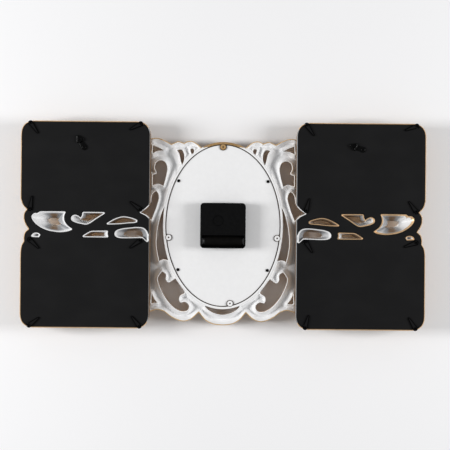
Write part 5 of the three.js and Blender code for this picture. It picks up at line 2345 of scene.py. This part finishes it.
@dataclass
class Studio:
    """Pale floor and room, soft lamps, and the camera at the photograph's view."""

    photo_width: float = 554.8
    distance: float = 1700.0
    sensor: float = 36.0
    aim: Pair = (-2.5, 0.8)
    roll: float = 0.5
    floor_y: float = -38.5
    floor_size: float = 6000.0
    paper: Numbers = (0.90, 0.90, 0.91)
    second_paper: Numbers = (0.886, 0.886, 0.896)
    room_radius: float = 12000.0
    room_glow: float = 0.84
    world_glow: float = 0.32

    def build(self) -> None:
        """Sets the stage, the lights and the camera."""
        bpy.context.scene.view_settings.view_transform = "Standard"
        self._floor()
        self._room()
        self._lamps()
        self._camera()

    def _floor(self) -> None:
        """Makes the pale floor that the clock lies on with its front, see-through from below."""
        s = Shader("pale_floor_paper")
        colour = s.mix(s.noise(6, 2), self.paper, self.second_paper)
        back = s.add("ShaderNodeNewGeometry", {}, {}, "Backfacing")
        paper = s.add("ShaderNodeBsdfDiffuse", {}, {"Color": colour})
        clear = s.add("ShaderNodeBsdfTransparent", {}, {})
        material = s.end(s.add("ShaderNodeMixShader", {}, {0: back, 1: paper, 2: clear}))
        bpy.ops.mesh.primitive_plane_add(size=self.floor_size * MM,
                                         location=(0, self.floor_y * MM, 0),
                                         rotation=(-QUARTER_TURN, 0, 0))
        floor = bpy.context.active_object
        floor.name = "pale_floor"
        floor.data.materials.append(material)
        floor.visible_shadow = floor.visible_transmission = False

    def _room(self) -> None:
        """Makes the pale room all round, which only the camera sees."""
        s = Shader("pale_room_paint")
        glow = {"Color": WHITE_LIGHT, "Strength": self.room_glow}
        material = s.end(s.add("ShaderNodeEmission", {}, glow))
        bpy.ops.mesh.primitive_uv_sphere_add(segments=32, ring_count=16,
                                             radius=self.room_radius * MM)
        room = bpy.context.active_object
        room.name = "pale_room"
        room.data.materials.append(material)
        room.visible_diffuse = room.visible_glossy = room.visible_shadow = False
        room.visible_transmission = room.visible_volume_scatter = False

    def _lamps(self) -> None:
        """Sets dim surroundings and the soft lamps, all of which point at the clock."""
        world = bpy.data.worlds.new("pale_room")
        bpy.context.scene.world = world
        world.use_nodes = True
        inputs = world.node_tree.nodes["Background"].inputs
        inputs["Color"].default_value = WHITE_LIGHT
        inputs["Strength"].default_value = self.world_glow
        for name, (place, size, power, colour, bounces) in LAMPS.items():
            data = bpy.data.lights.new(name, "AREA")
            data.shape = "RECTANGLE"
            data.size, data.size_y = size[0] * MM, size[1] * MM
            data.energy = power
            data.color = colour
            data.cycles.max_bounces = bounces
            lamp = bpy.data.objects.new(name, data)
            spot = Vector(place) * MM
            lamp.matrix_world = (Matrix.Translation(spot)
                                 @ (-spot).to_track_quat("-Z", "Y").to_matrix().to_4x4())
            bpy.context.scene.collection.objects.link(lamp)

    def _camera(self) -> None:
        """Sets the camera behind the clock, square on to its back."""
        data = bpy.data.cameras.new("photo_camera")
        data.sensor_width = self.sensor
        data.lens = self.sensor * self.distance / self.photo_width
        data.clip_start, data.clip_end = 0.05, 50.0
        camera = bpy.data.objects.new("photo_camera", data)
        x, z = self.aim
        look = Matrix.Rotation(math.pi, 4, "Z") @ Matrix.Rotation(QUARTER_TURN, 4, "X")
        camera.matrix_world = (Matrix.Translation((x * MM, self.distance * MM, z * MM)) @ look
                               @ Matrix.Rotation(math.radians(self.roll), 4, "Z"))
        bpy.context.scene.collection.objects.link(camera)
        bpy.context.scene.camera = camera


def finish_nodes(finishes: Finishes) -> None:
    """Gives the CAD nodes that stay in sight their materials.

    Args:
        finishes: every material.
    """
    shown = {"insert": finishes.card, "glass": finishes.glass, "lens": finishes.glass,
             "dial": finishes.dial, "hour_hand": finishes.ink, "minute_hand": finishes.ink,
             "second_hand": finishes.brass, "wheel": finishes.plastic, "shaft_bush": finishes.brass,
             "bush_nut": finishes.brass, "rubber_washer": finishes.rubber,
             "movement_cover": finishes.case, "circuit_board": finishes.circuit}
    for name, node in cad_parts.items():
        for ending, material in shown.items():
            if name.endswith(ending):
                for slot in node.material_slots:
                    slot.material = material


def main() -> None:
    """Builds every sub-assembly in order."""
    logging.basicConfig(level=logging.INFO, format="%(message)s")
    finishes = Finishes()
    sizes = OvalSizes()
    wings = [Wing(side, finishes) for side in Side]
    ScrollCentre(finishes, sizes).build()
    for wing in wings:
        wing.build()
    TurnClip(finishes, wings).build()
    Hanger(Side.RIGHT, finishes, turn=31.5).build()
    Hanger(Side.LEFT, finishes, turn=72.0).build()
    ClockPlate(finishes, sizes).build()
    Movement(finishes).build()
    DialPrint(finishes).build()
    finish_nodes(finishes)
    Studio().build()


if __name__ == "__main__":
    main()
